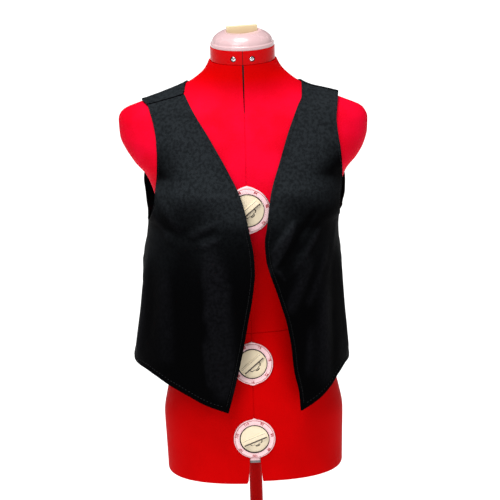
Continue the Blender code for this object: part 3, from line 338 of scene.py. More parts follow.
@dataclass(frozen=True)
class FormShape:
    """The dress form's surface, by the turn round from its front and the height."""

    bust_height: float = 1.075
    bust_apart: float = 0.085
    bust_out: float = 0.020
    bust_wide: float = 0.050
    bust_above: float = 0.062
    bust_below: float = 0.044
    shoulder_skew: float = 0.0040
    right_arm_out: float = 0.0050

    def size(self, name: str, height: Array) -> Array:
        """A named size of the form's sections at a height."""
        return FORM_CURVES[name](height)

    def half_width(self, side: Array, height: Array) -> Array:
        """The half width on one side. The right shoulder stands out a little more."""
        share = smooth_step(height, 1.150, 1.185) * (1 - smooth_step(height, 1.222, 1.240))
        return self.size("half_width", height) + np.where(side > 0, 0.0, self.right_arm_out * share)

    def bust(self, across: Array, height: Array) -> Array:
        """How far the two cups stand forward of the plain section."""
        side = (np.abs(across) - self.bust_apart) / self.bust_wide
        rise = height - self.bust_height
        rise = rise / np.where(rise > 0, self.bust_above, self.bust_below)
        return self.bust_out * np.exp(-side * side - rise * rise)

    def skew(self, across: Array, height: Array) -> Array:
        """How much higher the form stands at its right shoulder than at its left."""
        share = smooth_step(height, 1.14, 1.22) * (1 - smooth_step(height, 1.265, 1.305))
        return -self.shoulder_skew * share * across / 0.19

    def point(self, turn: Array, height: Array) -> Array:
        """Points of the surface.

        Args:
            turn: Degrees round from the centre front.
            height: Heights before the skew.

        Returns:
            The points, with X, Y and Z last.
        """
        turn, height = np.broadcast_arrays(np.asarray(turn, float), np.asarray(height, float))
        across, deep = round_section(
            turn, self.half_width(np.sin(np.radians(turn)), height), self.size("front", height),
            self.size("back", height), self.size("squareness", height),
        )
        facing = np.maximum(np.cos(np.radians(turn)), 0.0)
        deep = deep - self.bust(across, height) * np.minimum(1.0, 2.5 * facing)
        return stack(across, deep, height + self.skew(across, height))

    def normal(self, turn: Array, height: Array) -> Array:
        """The surface's outward directions."""
        turn, height = np.asarray(turn, float), np.asarray(height, float)
        along = self.point(turn + 1.5, height) - self.point(turn - 1.5, height)
        up = self.point(turn, height + 0.003) - self.point(turn, height - 0.003)
        return unit(np.cross(along, up))

    def level(self, place: Array) -> Array:
        """The height, before the skew, of places on the form."""
        return place[..., 2] - self.skew(place[..., 0], place[..., 2])

    def holds(self, place: Array) -> Array:
        """Whether places are inside the form."""
        level = self.level(place)
        in_front = place[..., 1] < 0
        deep = np.where(in_front, self.size("front", level), self.size("back", level))
        deep = deep + np.where(in_front, self.bust(place[..., 0], level), 0.0)
        n = self.size("squareness", level)
        half_width = self.half_width(place[..., 0], level)
        return np.abs(place[..., 0] / half_width) ** n + np.abs(place[..., 1] / deep) ** n < 1

    def turn_at(self, place: Array) -> Array:
        """The turn, in degrees round from the front, of places on the form."""
        level = self.level(place)
        share = np.minimum(np.abs(place[..., 0]) / self.half_width(place[..., 0], level), 1.0)
        turn = np.degrees(np.arcsin(share ** (self.size("squareness", level) / 2)))
        turn = np.where(place[..., 1] > 0, 180 - turn, turn)
        return np.copysign(turn, place[..., 0])


FORM_CURVES = columns(FORM_SECTIONS)
HANGING_CURVES = columns(HANGING_SECTIONS)


@dataclass(frozen=True)
class ClothShape:
    """The inner face of the cloth: fitted at the shoulders, and hanging below the arms."""

    form: FormShape
    hangs_below: float = 1.050
    fits_above: float = 1.150
    yoke_height: float = 1.190

    def fold_lift(self, folds: Sequence[Fold], turn: Array, height: Array) -> Array:
        """How far the folds lift the cloth at its places."""
        lift = np.zeros(np.broadcast(turn, height).shape)
        for fold in folds:
            away = turn - fold.turn_a
            away = np.radians(away - 360 * np.round(away / 360)) * BODY_RADIUS
            run_x = math.radians(fold.turn_b - fold.turn_a) * BODY_RADIUS
            run_z = fold.height_b - fold.height_a
            rise = height - fold.height_a
            share = (away * run_x + rise * run_z) / (run_x**2 + run_z**2)
            held = np.clip(share, 0.0, 1.0)
            off = np.hypot(away - run_x * held, rise - run_z * held) / fold.half_width
            ends = smooth_step(share, -0.18, 0.22) * (1 - 0.35 * smooth_step(share, 0.7, 1.3))
            lift = lift + fold.lift * ends * np.exp(-off * off)
        return lift

    def shoulder_lift(self, place: Array) -> Array:
        """How far the cloth stands off the form towards its shoulder ends."""
        rise = np.zeros(place.shape[:-1])
        for shoulder, there in ((LEFT_SHOULDER, place[..., 0] > 0), (RIGHT_SHOULDER, place[..., 0] <= 0)):
            out = smooth_step(np.abs(place[..., 0]), shoulder.lift_start, shoulder.lift_end)
            rise = np.where(there, shoulder.lift * out, rise)
        return rise * smooth_step(place[..., 2], 1.205, 1.245)

    def point(self, turn: Array, height: Array) -> Array:
        """Points of the cloth's inner face, by turn and height."""
        turn, height = np.broadcast_arrays(np.asarray(turn, float), np.asarray(height, float))
        turn = turn - 360 * np.floor((turn + 180) / 360)
        fitted = self.form.point(turn, height)
        off = CLOTH_REST + self.shoulder_lift(fitted)
        fitted = fitted + self.form.normal(turn, height) * off[..., None]
        share = smooth_step(height, self.hangs_below, self.fits_above)[..., None]
        low = np.minimum(height, HANGING_SECTIONS[-1].height)
        side = np.where(turn >= 0, HANGING_CURVES["left_side"](low), HANGING_CURVES["right_side"](low))
        across, deep = round_section(
            turn, side, HANGING_CURVES["front"](low), HANGING_CURVES["back"](low),
            HANGING_CURVES["squareness"](low),
        )
        loose = stack(across, deep, height)
        outward = unit(loose * (1 / 1.3, 1, 0))
        loose = loose + outward * self.fold_lift(FOLDS, turn, height)[..., None]
        mixed = loose + (fitted - loose) * share
        mixed[..., 2] = height + (fitted[..., 2] - height) * share[..., 0]
        return mixed

    def turn_of(self, across: Array, height: Array, behind: bool = False) -> Array:
        """The turn at which the cloth stands this far across, at a height."""
        across, height = np.broadcast_arrays(np.asarray(across, float), np.asarray(height, float))
        sign = np.where(across >= 0, 1.0, -1.0)
        low, high = np.zeros(across.shape), np.full(across.shape, 90.0)
        for _ in range(30):
            middle = (low + high) / 2
            there = self.point(sign * (180 - middle if behind else middle), height)
            short = np.abs(there[..., 0]) < np.abs(across)
            low, high = np.where(short, middle, low), np.where(short, high, middle)
        found = sign * (180 - low if behind else low)
        return found if behind else np.where(np.abs(across) > 0.0004, found, 0.0)

    def over_shoulder(self, across: Array, angle: Array) -> Array:
        """The cloth over the shoulder, from the yoke line's level at the back, 0, over the
        ridge, 90, and down the front, 180."""
        across, angle = np.broadcast_arrays(np.asarray(across, float), np.asarray(angle, float))
        turn = np.radians(angle)
        base = stack(across, 0.0, self.yoke_height)
        out = stack(0.0, np.cos(turn), np.sin(turn))
        low, high = np.zeros(across.shape), np.full(across.shape, 0.16)
        for _ in range(34):
            reach = (low + high) / 2
            place = base + out * reach[..., None]
            inside = (place[..., 2] < NECK_TOP) & self.form.holds(place)
            low, high = np.where(inside, reach, low), np.where(inside, high, reach)
        place = base + out * low[..., None]
        normal = self.form.normal(self.form.turn_at(place), self.form.level(place))
        return place + normal * (CLOTH_REST + self.shoulder_lift(place))[..., None]


class Border(Enum):
    """A border of a panel's grid of points."""

    FIRST_COLUMN = "first column"
    LAST_COLUMN = "last column"
    HEM = "hem"
    TOP = "top"


def resample(points: Array, near_first: int, near_last: int, middle: int, near: float) -> Array:
    """Spaces each line of points anew along its own length.

    Args:
        points: Lines of points, each along the second axis.
        near_first: How many steps of near lie at the line's start.
        near_last: How many lie at its end.
        middle: How many even steps lie between them.
        near: The length of a step near the ends.

    Returns:
        The new lines.
    """
    lines = []
    for line in points:
        run = run_along(line)
        first, last = near_first * near, run[-1] - near_last * near
        places = np.concatenate([
            np.arange(near_first) * near,
            np.linspace(first, last, middle + 1),
            run[-1] - np.arange(near_last)[::-1] * near,
        ])
        lines.append(points_at(places, run, line))
    return np.array(lines)


@dataclass
class ClothPanel:
    """A panel of cloth as a grid: rows from the hem up, columns across it.

    Attributes:
        name: The piece's name.
        points: The inner face's points.
        outward: 1 where columns by rows turn outward, else -1.
    """

    name: str
    points: Array
    outward: int

    def normals(self, points: Array) -> Array:
        """The outward directions of a grid of points."""
        across = np.gradient(points, axis=1)
        up = np.gradient(points, axis=0)
        return unit(np.cross(across, up)) * self.outward

    def away(self, border: Border) -> Array:
        """Each point's distance along the cloth from a border."""
        axis = 1 if border in (Border.FIRST_COLUMN, Border.LAST_COLUMN) else 0
        steps = np.linalg.norm(np.diff(self.points, axis=axis), axis=-1)
        total = np.cumsum(steps, axis=axis)
        edge = [(0, 0), (0, 0)]
        edge[axis] = (1, 0)
        run = np.pad(total, edge)
        if border in (Border.LAST_COLUMN, Border.TOP):
            run = np.take(run, [-1], axis=axis) - run
        return run

    def along(self, border: Border) -> Array:
        """Each point's distance along a border, from the border's first end."""
        line = {
            Border.FIRST_COLUMN: self.points[:, 0], Border.LAST_COLUMN: self.points[:, -1],
            Border.HEM: self.points[0], Border.TOP: self.points[-1],
        }[border]
        run = run_along(line)
        wide = border in (Border.HEM, Border.TOP)
        return np.broadcast_to(run[None, :] if wide else run[:, None], self.points.shape[:2])

    def turns(self) -> Array:
        """Each point's turn round the body, in degrees."""
        return np.degrees(np.arctan2(self.points[..., 0] / 1.25, -self.points[..., 1]))

    def inset_line(self, surface: Array, border: Border, distance: float) -> tuple[Array, Array]:
        """A line on the outer face a set distance inside a border.

        Args:
            surface: The outer face's points.
            border: The border that it follows.
            distance: How far inside it lies.

        Returns:
            The line's points and the outward directions there.
        """
        away, normals = self.away(border), self.normals(surface)
        if border in (Border.HEM, Border.TOP):
            away, surface, normals = away.T, surface.swapaxes(0, 1), normals.swapaxes(0, 1)
        line, out = [], []
        for run, row, up in zip(away, surface, normals):
            order = np.argsort(run)
            line.append(points_at(distance, run[order], row[order]))
            out.append(points_at(distance, run[order], up[order]))
        return np.array(line), unit(np.array(out))


def add_object(name: str, data: bpy.types.ID) -> Piece:
    """A new object with this data, in the scene."""
    made = bpy.data.objects.new(name, data)
    bpy.context.scene.collection.objects.link(made)
    return made


def spin(degrees: float, axis: str = "Z") -> Matrix:
    """A turn about an axis."""
    return Matrix.Rotation(math.radians(degrees), 4, axis)


def mesh_piece(
    name: str, points: Array, faces: Sequence[Sequence[int]], finish: Material | None,
    sharp: float = 40.0, tidy: bool = False,
) -> Piece:
    """A mesh object, smooth but for its sharp edges.

    Args:
        name: The piece's name.
        points: Its points.
        faces: Its faces, as indices of points.
        finish: Its material, or None for a cutter.
        sharp: The angle in degrees from which an edge stays sharp.
        tidy: Whether its faces are turned to face outward.

    Returns:
        The object, in the scene.
    """
    mesh = bpy.data.meshes.new(name)
    mesh.from_pydata([tuple(p) for p in np.asarray(points, float)], [], [tuple(f) for f in faces])
    if tidy:
        shape = bmesh.new()
        shape.from_mesh(mesh)
        bmesh.ops.recalc_face_normals(shape, faces=shape.faces)
        shape.to_mesh(mesh)
        shape.free()
    made = add_object(name, mesh)
    if finish:
        mesh.materials.append(finish)
    mesh.shade_smooth()
    mesh.set_sharp_from_angle(angle=math.radians(sharp))
    return made


def soften(profile: Sequence[tuple[float, float]], radius: float, steps: int = 3) -> list[tuple[float, float]]:
    """Rounds the inner corners of an open profile.

    Args:
        profile: Points as (radius, height).
        radius: The rounding, shortened where a side is short.
        steps: How many steps round each corner.

    Returns:
        The rounded profile.
    """
    points = [np.array(p, float) for p in profile]
    rounded = [tuple(points[0])]
    for before, corner, after in zip(points, points[1:], points[2:]):
        one, two = before - corner, after - corner
        cut = min(radius, np.linalg.norm(one) * 0.45, np.linalg.norm(two) * 0.45)
        start = corner + one / np.linalg.norm(one) * cut
        end = corner + two / np.linalg.norm(two) * cut
        for k in range(steps + 1):
            s = k / steps
            rounded.append(tuple((1 - s) ** 2 * start + 2 * s * (1 - s) * corner + s * s * end))
    rounded.append(tuple(points[-1]))
    return rounded


def turned_piece(
    name: str, profile: Sequence[tuple[float, float]], finish: Material | None, sides: int = 96,
    closed: bool = False, swell: Callable[[float, Array], Array] | None = None, sharp: float = 40.0,
) -> Piece:
    """A turned piece about the Z axis.

    Args:
        name: The piece's name.
        profile: Points as (radius, height), down its outer side.
        finish: Its material, or None for a cutter.
        sides: How many sides it has.
        closed: Whether the profile closes on itself, clear of the axis.
        swell: What a radius is multiplied by, from it and the turns from the X axis.
        sharp: The angle in degrees from which an edge stays sharp.

    Returns:
        The object.
    """
    turn = np.arange(sides) * 2 * math.pi / sides
    points: list[tuple[float, float, float]] = []
    rings: list[list[int]] = []
    for radius, height in profile:
        if radius < 1e-6:
            rings.append([len(points)] * sides)
            points.append((0.0, 0.0, height))
            continue
        rings.append(list(range(len(points), len(points) + sides)))
        wide = radius * (swell(radius, turn) if swell else np.ones(sides))
        points += [(w * math.cos(a), w * math.sin(a), height) for a, w in zip(turn, wide)]
    if closed:
        rings.append(rings[0])
    faces = []
    for upper, lower in zip(rings, rings[1:]):
        for k in range(sides):
            after = (k + 1) % sides
            face = list(dict.fromkeys([lower[k], lower[after], upper[after], upper[k]]))
            if len(face) > 2:
                faces.append(face)
    return mesh_piece(name, np.array(points), faces, finish, sharp, tidy=True)


def cylinder(
    name: str, radius: float, top: float, bottom: float, finish: Material, sides: int,
    swell: Callable[[float, Array], Array] | None = None,
) -> Piece:
    """A plain cylinder about the Z axis, from its top down."""
    profile = [(0, top), (radius, top), (radius, bottom), (0, bottom)]
    return turned_piece(name, profile, finish, sides, swell=swell)


def prism_piece(
    name: str, outline: Sequence[tuple[float, float]], front: float, back: float,
    finish: Material | None = None,
) -> Piece:
    """A prism with an outline in X and Z, run along Y between two depths."""
    count = len(outline)
    points = [(x, front, z) for x, z in outline] + [(x, back, z) for x, z in outline]
    faces = [list(range(count)), list(range(2 * count - 1, count - 1, -1))]
    faces += [[i, i + count, (i + 1) % count + count, (i + 1) % count] for i in range(count)]
    return mesh_piece(name, np.array(points), faces, finish, tidy=True)


def box_piece(
    name: str, low: Sequence[float], high: Sequence[float], finish: Material | None = None
) -> Piece:
    """A box between two corners."""
    outline = [(low[0], low[2]), (high[0], low[2]), (high[0], high[2]), (low[0], high[2])]
    return prism_piece(name, outline, low[1], high[1], finish)


def settle_modifiers(made: Piece, sharp: float = 40.0) -> Piece:
    """Turns a piece's modifiers into its mesh."""
    seen = made.evaluated_get(bpy.context.evaluated_depsgraph_get())
    mesh = bpy.data.meshes.new_from_object(seen)
    made.modifiers.clear()
    made.data = mesh
    mesh.shade_smooth()
    mesh.set_sharp_from_angle(angle=math.radians(sharp))
    return made


def carve(
    made: Piece, cutters: Sequence[Piece], operation: str = "DIFFERENCE",
    sharp: float = 40.0,
) -> Piece:
    """Shapes a piece with others, which are then gone."""
    for cutter in cutters:
        change = made.modifiers.new("carve", "BOOLEAN")
        change.operation = operation
        change.solver = "EXACT"
        change.material_mode = "TRANSFER"
        change.object = cutter
    settle_modifiers(made, sharp)
    for cutter in cutters:
        bpy.data.objects.remove(cutter, do_unlink=True)
    return made


def bevel(made: Piece, width: float, segments: int = 2) -> Piece:
    """Rounds a piece's sharp edges."""
    edges = made.modifiers.new("rounded", "BEVEL")
    edges.width, edges.segments = width, segments
    edges.limit_method, edges.angle_limit = "ANGLE", math.radians(35)
    return settle_modifiers(made)


def paint_between(made: Piece, low: float, high: float, finish: Material) -> None:
    """Gives the faces that stand between two distances from a piece's axis another finish."""
    made.data.materials.append(finish)
    for face in made.data.polygons:
        if low < math.hypot(face.center.x, face.center.y) < high:
            face.material_index = len(made.data.materials) - 1


def facing_frame(out: Vector, place: Vector) -> Matrix:
    """A frame at a place, whose Z points out and whose Y is as near up as it can be."""
    side = Vector((0, 0, 1)).cross(out).normalized()
    frame = Matrix((side, out.cross(side), out)).transposed().to_4x4()
    frame.translation = place
    return frame


class Flow:
    """A shader value that Python's operators work on, each adding a Math node."""

    def __init__(self, board: "Board", socket: bpy.types.NodeSocket) -> None:
        """Wraps an output socket of a node on a board."""
        self.board, self.socket = board, socket

    def maths(self, operation: str, *values: "Flow | float") -> "Flow":
        """A Math node's result on these values."""
        return self.board.flow("ShaderNodeMath", {"operation": operation}, dict(enumerate(values)))

    def __add__(self, other: "Flow | float") -> "Flow":
        """Their sum."""
        return self.maths("ADD", self, other)

    def __sub__(self, other: "Flow | float") -> "Flow":
        """This less the other."""
        return self.maths("SUBTRACT", self, other)

    def __mul__(self, other: "Flow | float") -> "Flow":
        """Their product."""
        return self.maths("MULTIPLY", self, other)

    def sine(self) -> "Flow":
        """Its sine."""
        return self.maths("SINE", self)

    def between(self, low: float, high: float) -> "Flow":
        """0 below one value and 1 above another, with a smooth rise between."""
        return self.board.flow(
            "ShaderNodeMapRange", {"interpolation_type": "SMOOTHSTEP"},
            {"Value": self, "From Min": low, "From Max": high},
        )


class Board:
    """A material's nodes."""

    def __init__(self, name: str) -> None:
        """Starts a material with only its surface shader."""
        self.material = bpy.data.materials.new(name)
        self.material.use_nodes = True
        self.tree = self.material.node_tree
        self.surface = self.tree.nodes["Principled BSDF"]

    def node(self, kind: str, settings: dict | None = None, sockets: dict | None = None) -> bpy.types.Node:
        """Adds a node.

        Args:
            kind: The node's type.
            settings: Its properties, set first.
            sockets: A value or a Flow for each named or numbered input.

        Returns:
            The node.
        """
        made = self.tree.nodes.new(kind)
        for name, value in (settings or {}).items():
            setattr(made, name, value)
        for name, value in (sockets or {}).items():
            self.feed(made.inputs[name], value)
        return made

    def feed(self, socket: bpy.types.NodeSocket, value: "Flow | float | tuple") -> None:
        """Links a flow to an input, or sets the input's value."""
        if isinstance(value, Flow):
            self.tree.links.new(value.socket, socket)
        else:
            socket.default_value = value

    def flow(self, kind: str, settings: dict, sockets: dict, output: str | int = 0) -> Flow:
        """Adds a node and gives one of its outputs."""
        return Flow(self, self.node(kind, settings, sockets).outputs[output])

    def place(self) -> Flow:
        """The place on the piece, in metres."""
        return self.flow("ShaderNodeTexCoord", {}, {}, "Object")

    def parts(self, vector: Flow) -> list[Flow]:
        """A vector's X, Y and Z."""
        node = self.node("ShaderNodeSeparateXYZ", {}, {0: vector})
        return [Flow(self, output) for output in node.outputs]

    def noise(self, place: Flow, size: float, detail: float = 2.0) -> Flow:
        """Soft noise from 0 to 1, with spots of about a size in metres."""
        return self.flow(
            "ShaderNodeTexNoise", {}, {"Vector": place, "Scale": 1 / size, "Detail": detail}, 0
        )

    def mix(self, share: Flow, low: Sequence[float], high: Sequence[float]) -> Flow:
        """A colour between two, by a share."""
        node = self.node("ShaderNodeMix", {"data_type": "RGBA"}, {0: share})
        for index, colour in ((6, low), (7, high)):
            self.feed(node.inputs[index], colour if isinstance(colour, Flow) else (*colour, 1.0))
        return Flow(self, node.outputs[2])

    def bump(self, height: Flow, depth: float, strength: float = 1.0) -> Flow:
        """A normal from a height from 0 to 1 and its depth in metres."""
        return self.flow(
            "ShaderNodeBump", {}, {"Height": height, "Distance": depth, "Strength": strength}
        )

    def dress(self, **sockets: "Flow | float | tuple") -> Material:
        """Sets the surface shader's inputs, whose names take _ for a space."""
        for name, value in sockets.items():
            self.feed(self.surface.inputs[name.replace("_", " ")], value)
        return self.material


@dataclass(frozen=True)
class TwillFinish:
    """Black twill: fine slanting ribs, with a painted highlight on its fold ridges and a speckled painted
    highlight where its upper part faces up, for the light from above; painted shade keeps its seams and pressed
    edges at its darkest colour.

    Its grain attribute holds the places along the cloth in metres, and how high its folds stand, lowered along
    seams and pressed edges for their painted shade.
    """

    name: str = "black_twill"
    shade: Colour = (0.0005, 0.0005, 0.0007)
    painted_fold_highlight: Colour = (0.0066, 0.0067, 0.0084)
    painted_upper_highlight: Colour = (0.0150, 0.0180, 0.0205)
    upper_highlight_low: float = 0.93
    upper_highlight_high: float = 1.13
    pitch: float = 0.0016

    def build(self) -> Material:
        """The cloth's material, on its grain in metres."""
        board = Board(self.name)
        grain = board.flow("ShaderNodeAttribute", {"attribute_name": "grain"}, {}, "Vector")
        across, up, fold = board.parts(grain)
        ribs = ((across + up * 0.8) * (2 * math.pi / self.pitch)).sine() * 0.5 + 0.5
        yarn = ((across - up * 1.6) * (2 * math.pi / (self.pitch * 0.9))).sine() * 0.5 + 0.5
        place = board.place()
        lint = board.noise(place, 0.0035, 3.0)
        patches = board.noise(place, 0.045, 2.0)
        weave = ribs * 0.6 + yarn * 0.15 + lint * 0.45
        speckle = board.noise(place, 0.0048, 2.0).between(0.30, 0.70)
        high = board.parts(place)[2].between(self.upper_highlight_low, self.upper_highlight_high)
        # Painted highlight: on fold ridges the colour rises from the cloth's base black towards a lighter grey,
        # more on the upper part, patchy by noise.
        tone = fold.between(0.10, 1.1) * (speckle * 0.6 + patches * 0.6 + 0.10) * (high * 0.4 + 0.6)
        # Painted highlight: a speckled lighter colour where the upper part faces up, for the light from above,
        # kept off the seams and pressed edges.
        facing = board.parts(board.flow("ShaderNodeNewGeometry", {}, {}, "Normal"))
        upward = facing[2].between(-0.12, 0.36) * high
        upper_highlight_share = upward * (speckle * 0.55 + patches * 0.30 + 0.36) * fold.between(-4.0, -1.2)
        return board.dress(
            Base_Color=board.mix(upper_highlight_share, board.mix(tone, self.shade, self.painted_fold_highlight), self.painted_upper_highlight),
            Roughness=lint * 0.12 + 0.62,
            Normal=board.bump(weave, 0.00022, 0.85),
            Sheen_Weight=0.002,
            Sheen_Roughness=0.40,
            Sheen_Tint=(0.62, 0.68, 0.85, 1.0),
            Specular_IOR_Level=0.012,
        )


@dataclass(frozen=True)
class ThreadFinish:
    """Black sewing thread, as dark as the cloth."""

    name: str = "black_thread"
    shade: Colour = (0.0035, 0.0040, 0.0045)
    light: Colour = (0.0090, 0.0100, 0.0115)

    def build(self) -> Material:
        """The thread's material."""
        board = Board(self.name)
        twist = board.noise(board.place(), 0.0008, 2.0)
        return board.dress(
            Base_Color=board.mix(twist, self.shade, self.light),
            Roughness=twist * 0.2 + 0.48,
            Normal=board.bump(twist, 0.0001, 0.6),
            Specular_IOR_Level=0.25,
        )


@dataclass(frozen=True)
class JerseyFinish:
    """Red knitted cover of the form, matt, with a fine nap, and a lighter, pinker painted highlight on its
    upper body that fades out towards the waist and up the neck.
    """

    name: str = "red_jersey"
    shade: Colour = (0.48, 0.0002, 0.0004)
    light: Colour = (0.57, 0.0003, 0.0008)
    painted_chest_highlight: Colour = (0.70, 0.0018, 0.024)
    chest_highlight_low: float = 0.96
    chest_highlight_high: float = 1.10
    neck_low: float = 1.245
    neck_high: float = 1.295

    def build(self) -> Material:
        """The cover's material."""
        board = Board(self.name)
        place = board.place()
        knit = board.noise(place, 0.0011, 2.0)
        cloud = board.noise(place, 0.060, 2.0)
        tone = knit.between(0.3, 0.75) * 0.5 + cloud.between(0.3, 0.7) * 0.5
        level = board.parts(place)[2]
        # Painted highlight: lighter and pinker from the waist up, fading out up the neck.
        high = level.between(self.chest_highlight_low, self.chest_highlight_high) * level.between(self.neck_high, self.neck_low)
        red = board.mix(tone, self.shade, self.light)
        return board.dress(
            Base_Color=board.mix(high * (tone * 0.9 + 0.3), red, self.painted_chest_highlight),
            Roughness=knit * 0.14 + 0.52,
            Normal=board.bump(knit, 0.00012, 0.6),
            Specular_IOR_Level=0.012,
            Sheen_Weight=0.007,
            Sheen_Roughness=0.5,
            Sheen_Tint=(1.0, 0.06, 0.35, 1.0),
        )


@dataclass(frozen=True)
class MouldedFinish:
    """Moulded plastic with a faint grain and light scuffs."""

    name: str
    shade: Colour
    light: Colour
    roughness: float = 0.24
    coat: float = 0.3
    gloss: float = 0.5

    def build(self) -> Material:
        """The plastic's material."""
        board = Board(self.name)
        place = board.place()
        grain = board.noise(place, 0.0009, 2.0)
        scuffs = board.noise(place, 0.012, 4.0).between(0.50, 0.75)
        return board.dress(
            Base_Color=board.mix(scuffs * 0.6 + grain * 0.25, self.shade, self.light),
            Roughness=scuffs * 0.12 + self.roughness,
            Normal=board.bump(grain, 0.00003, 0.4),
            Coat_Weight=self.coat,
            Coat_Roughness=0.12,
            Specular_IOR_Level=self.gloss,
        )


@dataclass(frozen=True)
class MetalFinish:
    """Painted or plated metal, with fine turning marks and small scratches."""

    name: str
    shade: Colour
    light: Colour
    metallic: float
    roughness: float
    coat: float = 0.0
    gloss: float = 0.5

    def build(self) -> Material:
        """The metal's material."""
        board = Board(self.name)
        place = board.place()
        scratches = board.noise(place, 0.006, 5.0).between(0.52, 0.72)
        orange_peel = board.noise(place, 0.0016, 2.0)
        return board.dress(
            Base_Color=board.mix(scratches, self.shade, self.light),
            Metallic=self.metallic,
            Roughness=scratches * 0.14 + self.roughness,
            Normal=board.bump(orange_peel, 0.00003, 0.35),
            Coat_Weight=self.coat,
            Specular_IOR_Level=self.gloss,
        )


@dataclass(frozen=True)
class FloorFinish:
    """Plain pale floor."""

    name: str = "pale_floor"
    shade: Colour = (0.93, 0.93, 0.93)

    def build(self) -> Material:
        """The floor's material."""
        return Board(self.name).dress(Base_Color=(*self.shade, 1.0), Roughness=0.95)


PLASTICS = (
    MouldedFinish("red_plastic", (0.50, 0.0006, 0.0015), (0.56, 0.001, 0.003), 0.20, 0.0, 0.05),
    MouldedFinish("pink_plastic", (0.89, 0.58, 0.60), (0.91, 0.64, 0.66), 0.24, 0.1),
    MouldedFinish("cap_plastic", (0.57, 0.385, 0.395), (0.61, 0.42, 0.43), 0.24, 0.1),
    MouldedFinish("bar_plastic", (0.70, 0.57, 0.33), (0.74, 0.61, 0.37), 0.34, 0.0),
    MouldedFinish("cream_plastic", (0.87, 0.73, 0.51), (0.90, 0.78, 0.58), 0.34, 0.0),
    # Red ink for the scale's print, and also painted round the dial ring's step as shade.
    MouldedFinish("red_ink_and_step_shade", (0.36, 0.006, 0.015), (0.46, 0.012, 0.025), 0.45, 0.0),
    # Near-black painted shade, on the cut faces of gaps, grooves, holes, slits and slots, and on thin shadow
    # pieces.
    MouldedFinish("painted_shade", (0.012, 0.0005, 0.0007), (0.020, 0.0008, 0.0010), 0.70, 0.0),
    MouldedFinish("grey_plastic", (0.16, 0.15, 0.15), (0.22, 0.20, 0.20), 0.40, 0.1),
)
METALS = (
    MetalFinish("chrome", (0.80, 0.80, 0.82), (0.72, 0.72, 0.74), 1.0, 0.10),
    MetalFinish("red_pole_paint", (0.36, 0.0004, 0.0006), (0.43, 0.0006, 0.001), 0.0, 0.40, 0.0, 0.03),
    MetalFinish("dark_paint", (0.030, 0.030, 0.034), (0.050, 0.050, 0.055), 0.0, 0.38, 0.2),
)


@dataclass(frozen=True)
class Finishes:
    """The materials of all the pieces, each built once."""

    twill: Material
    thread: Material
    jersey: Material
    red_plastic: Material
    pink_plastic: Material
    cream_plastic: Material
    cap_plastic: Material
    bar_plastic: Material
    red_ink_and_step_shade: Material
    chrome: Material
    painted_shade: Material
    grey_plastic: Material
    red_pole_paint: Material
    dark_paint: Material

    @staticmethod
    def build() -> "Finishes":
        """All the finishes of the vest, the form and its stand."""
        cloth = [finish().build() for finish in (TwillFinish, ThreadFinish, JerseyFinish)]
        return Finishes(*cloth, **{finish.name: finish.build() for finish in (*PLASTICS, *METALS)})


@dataclass(frozen=True)
class StitchRow:
    """A row of stitches: how far it lies inside its border, and the stitch's own sizes."""

    inside: float
    pitch: float
    length: float
    thickness: float = 0.00042


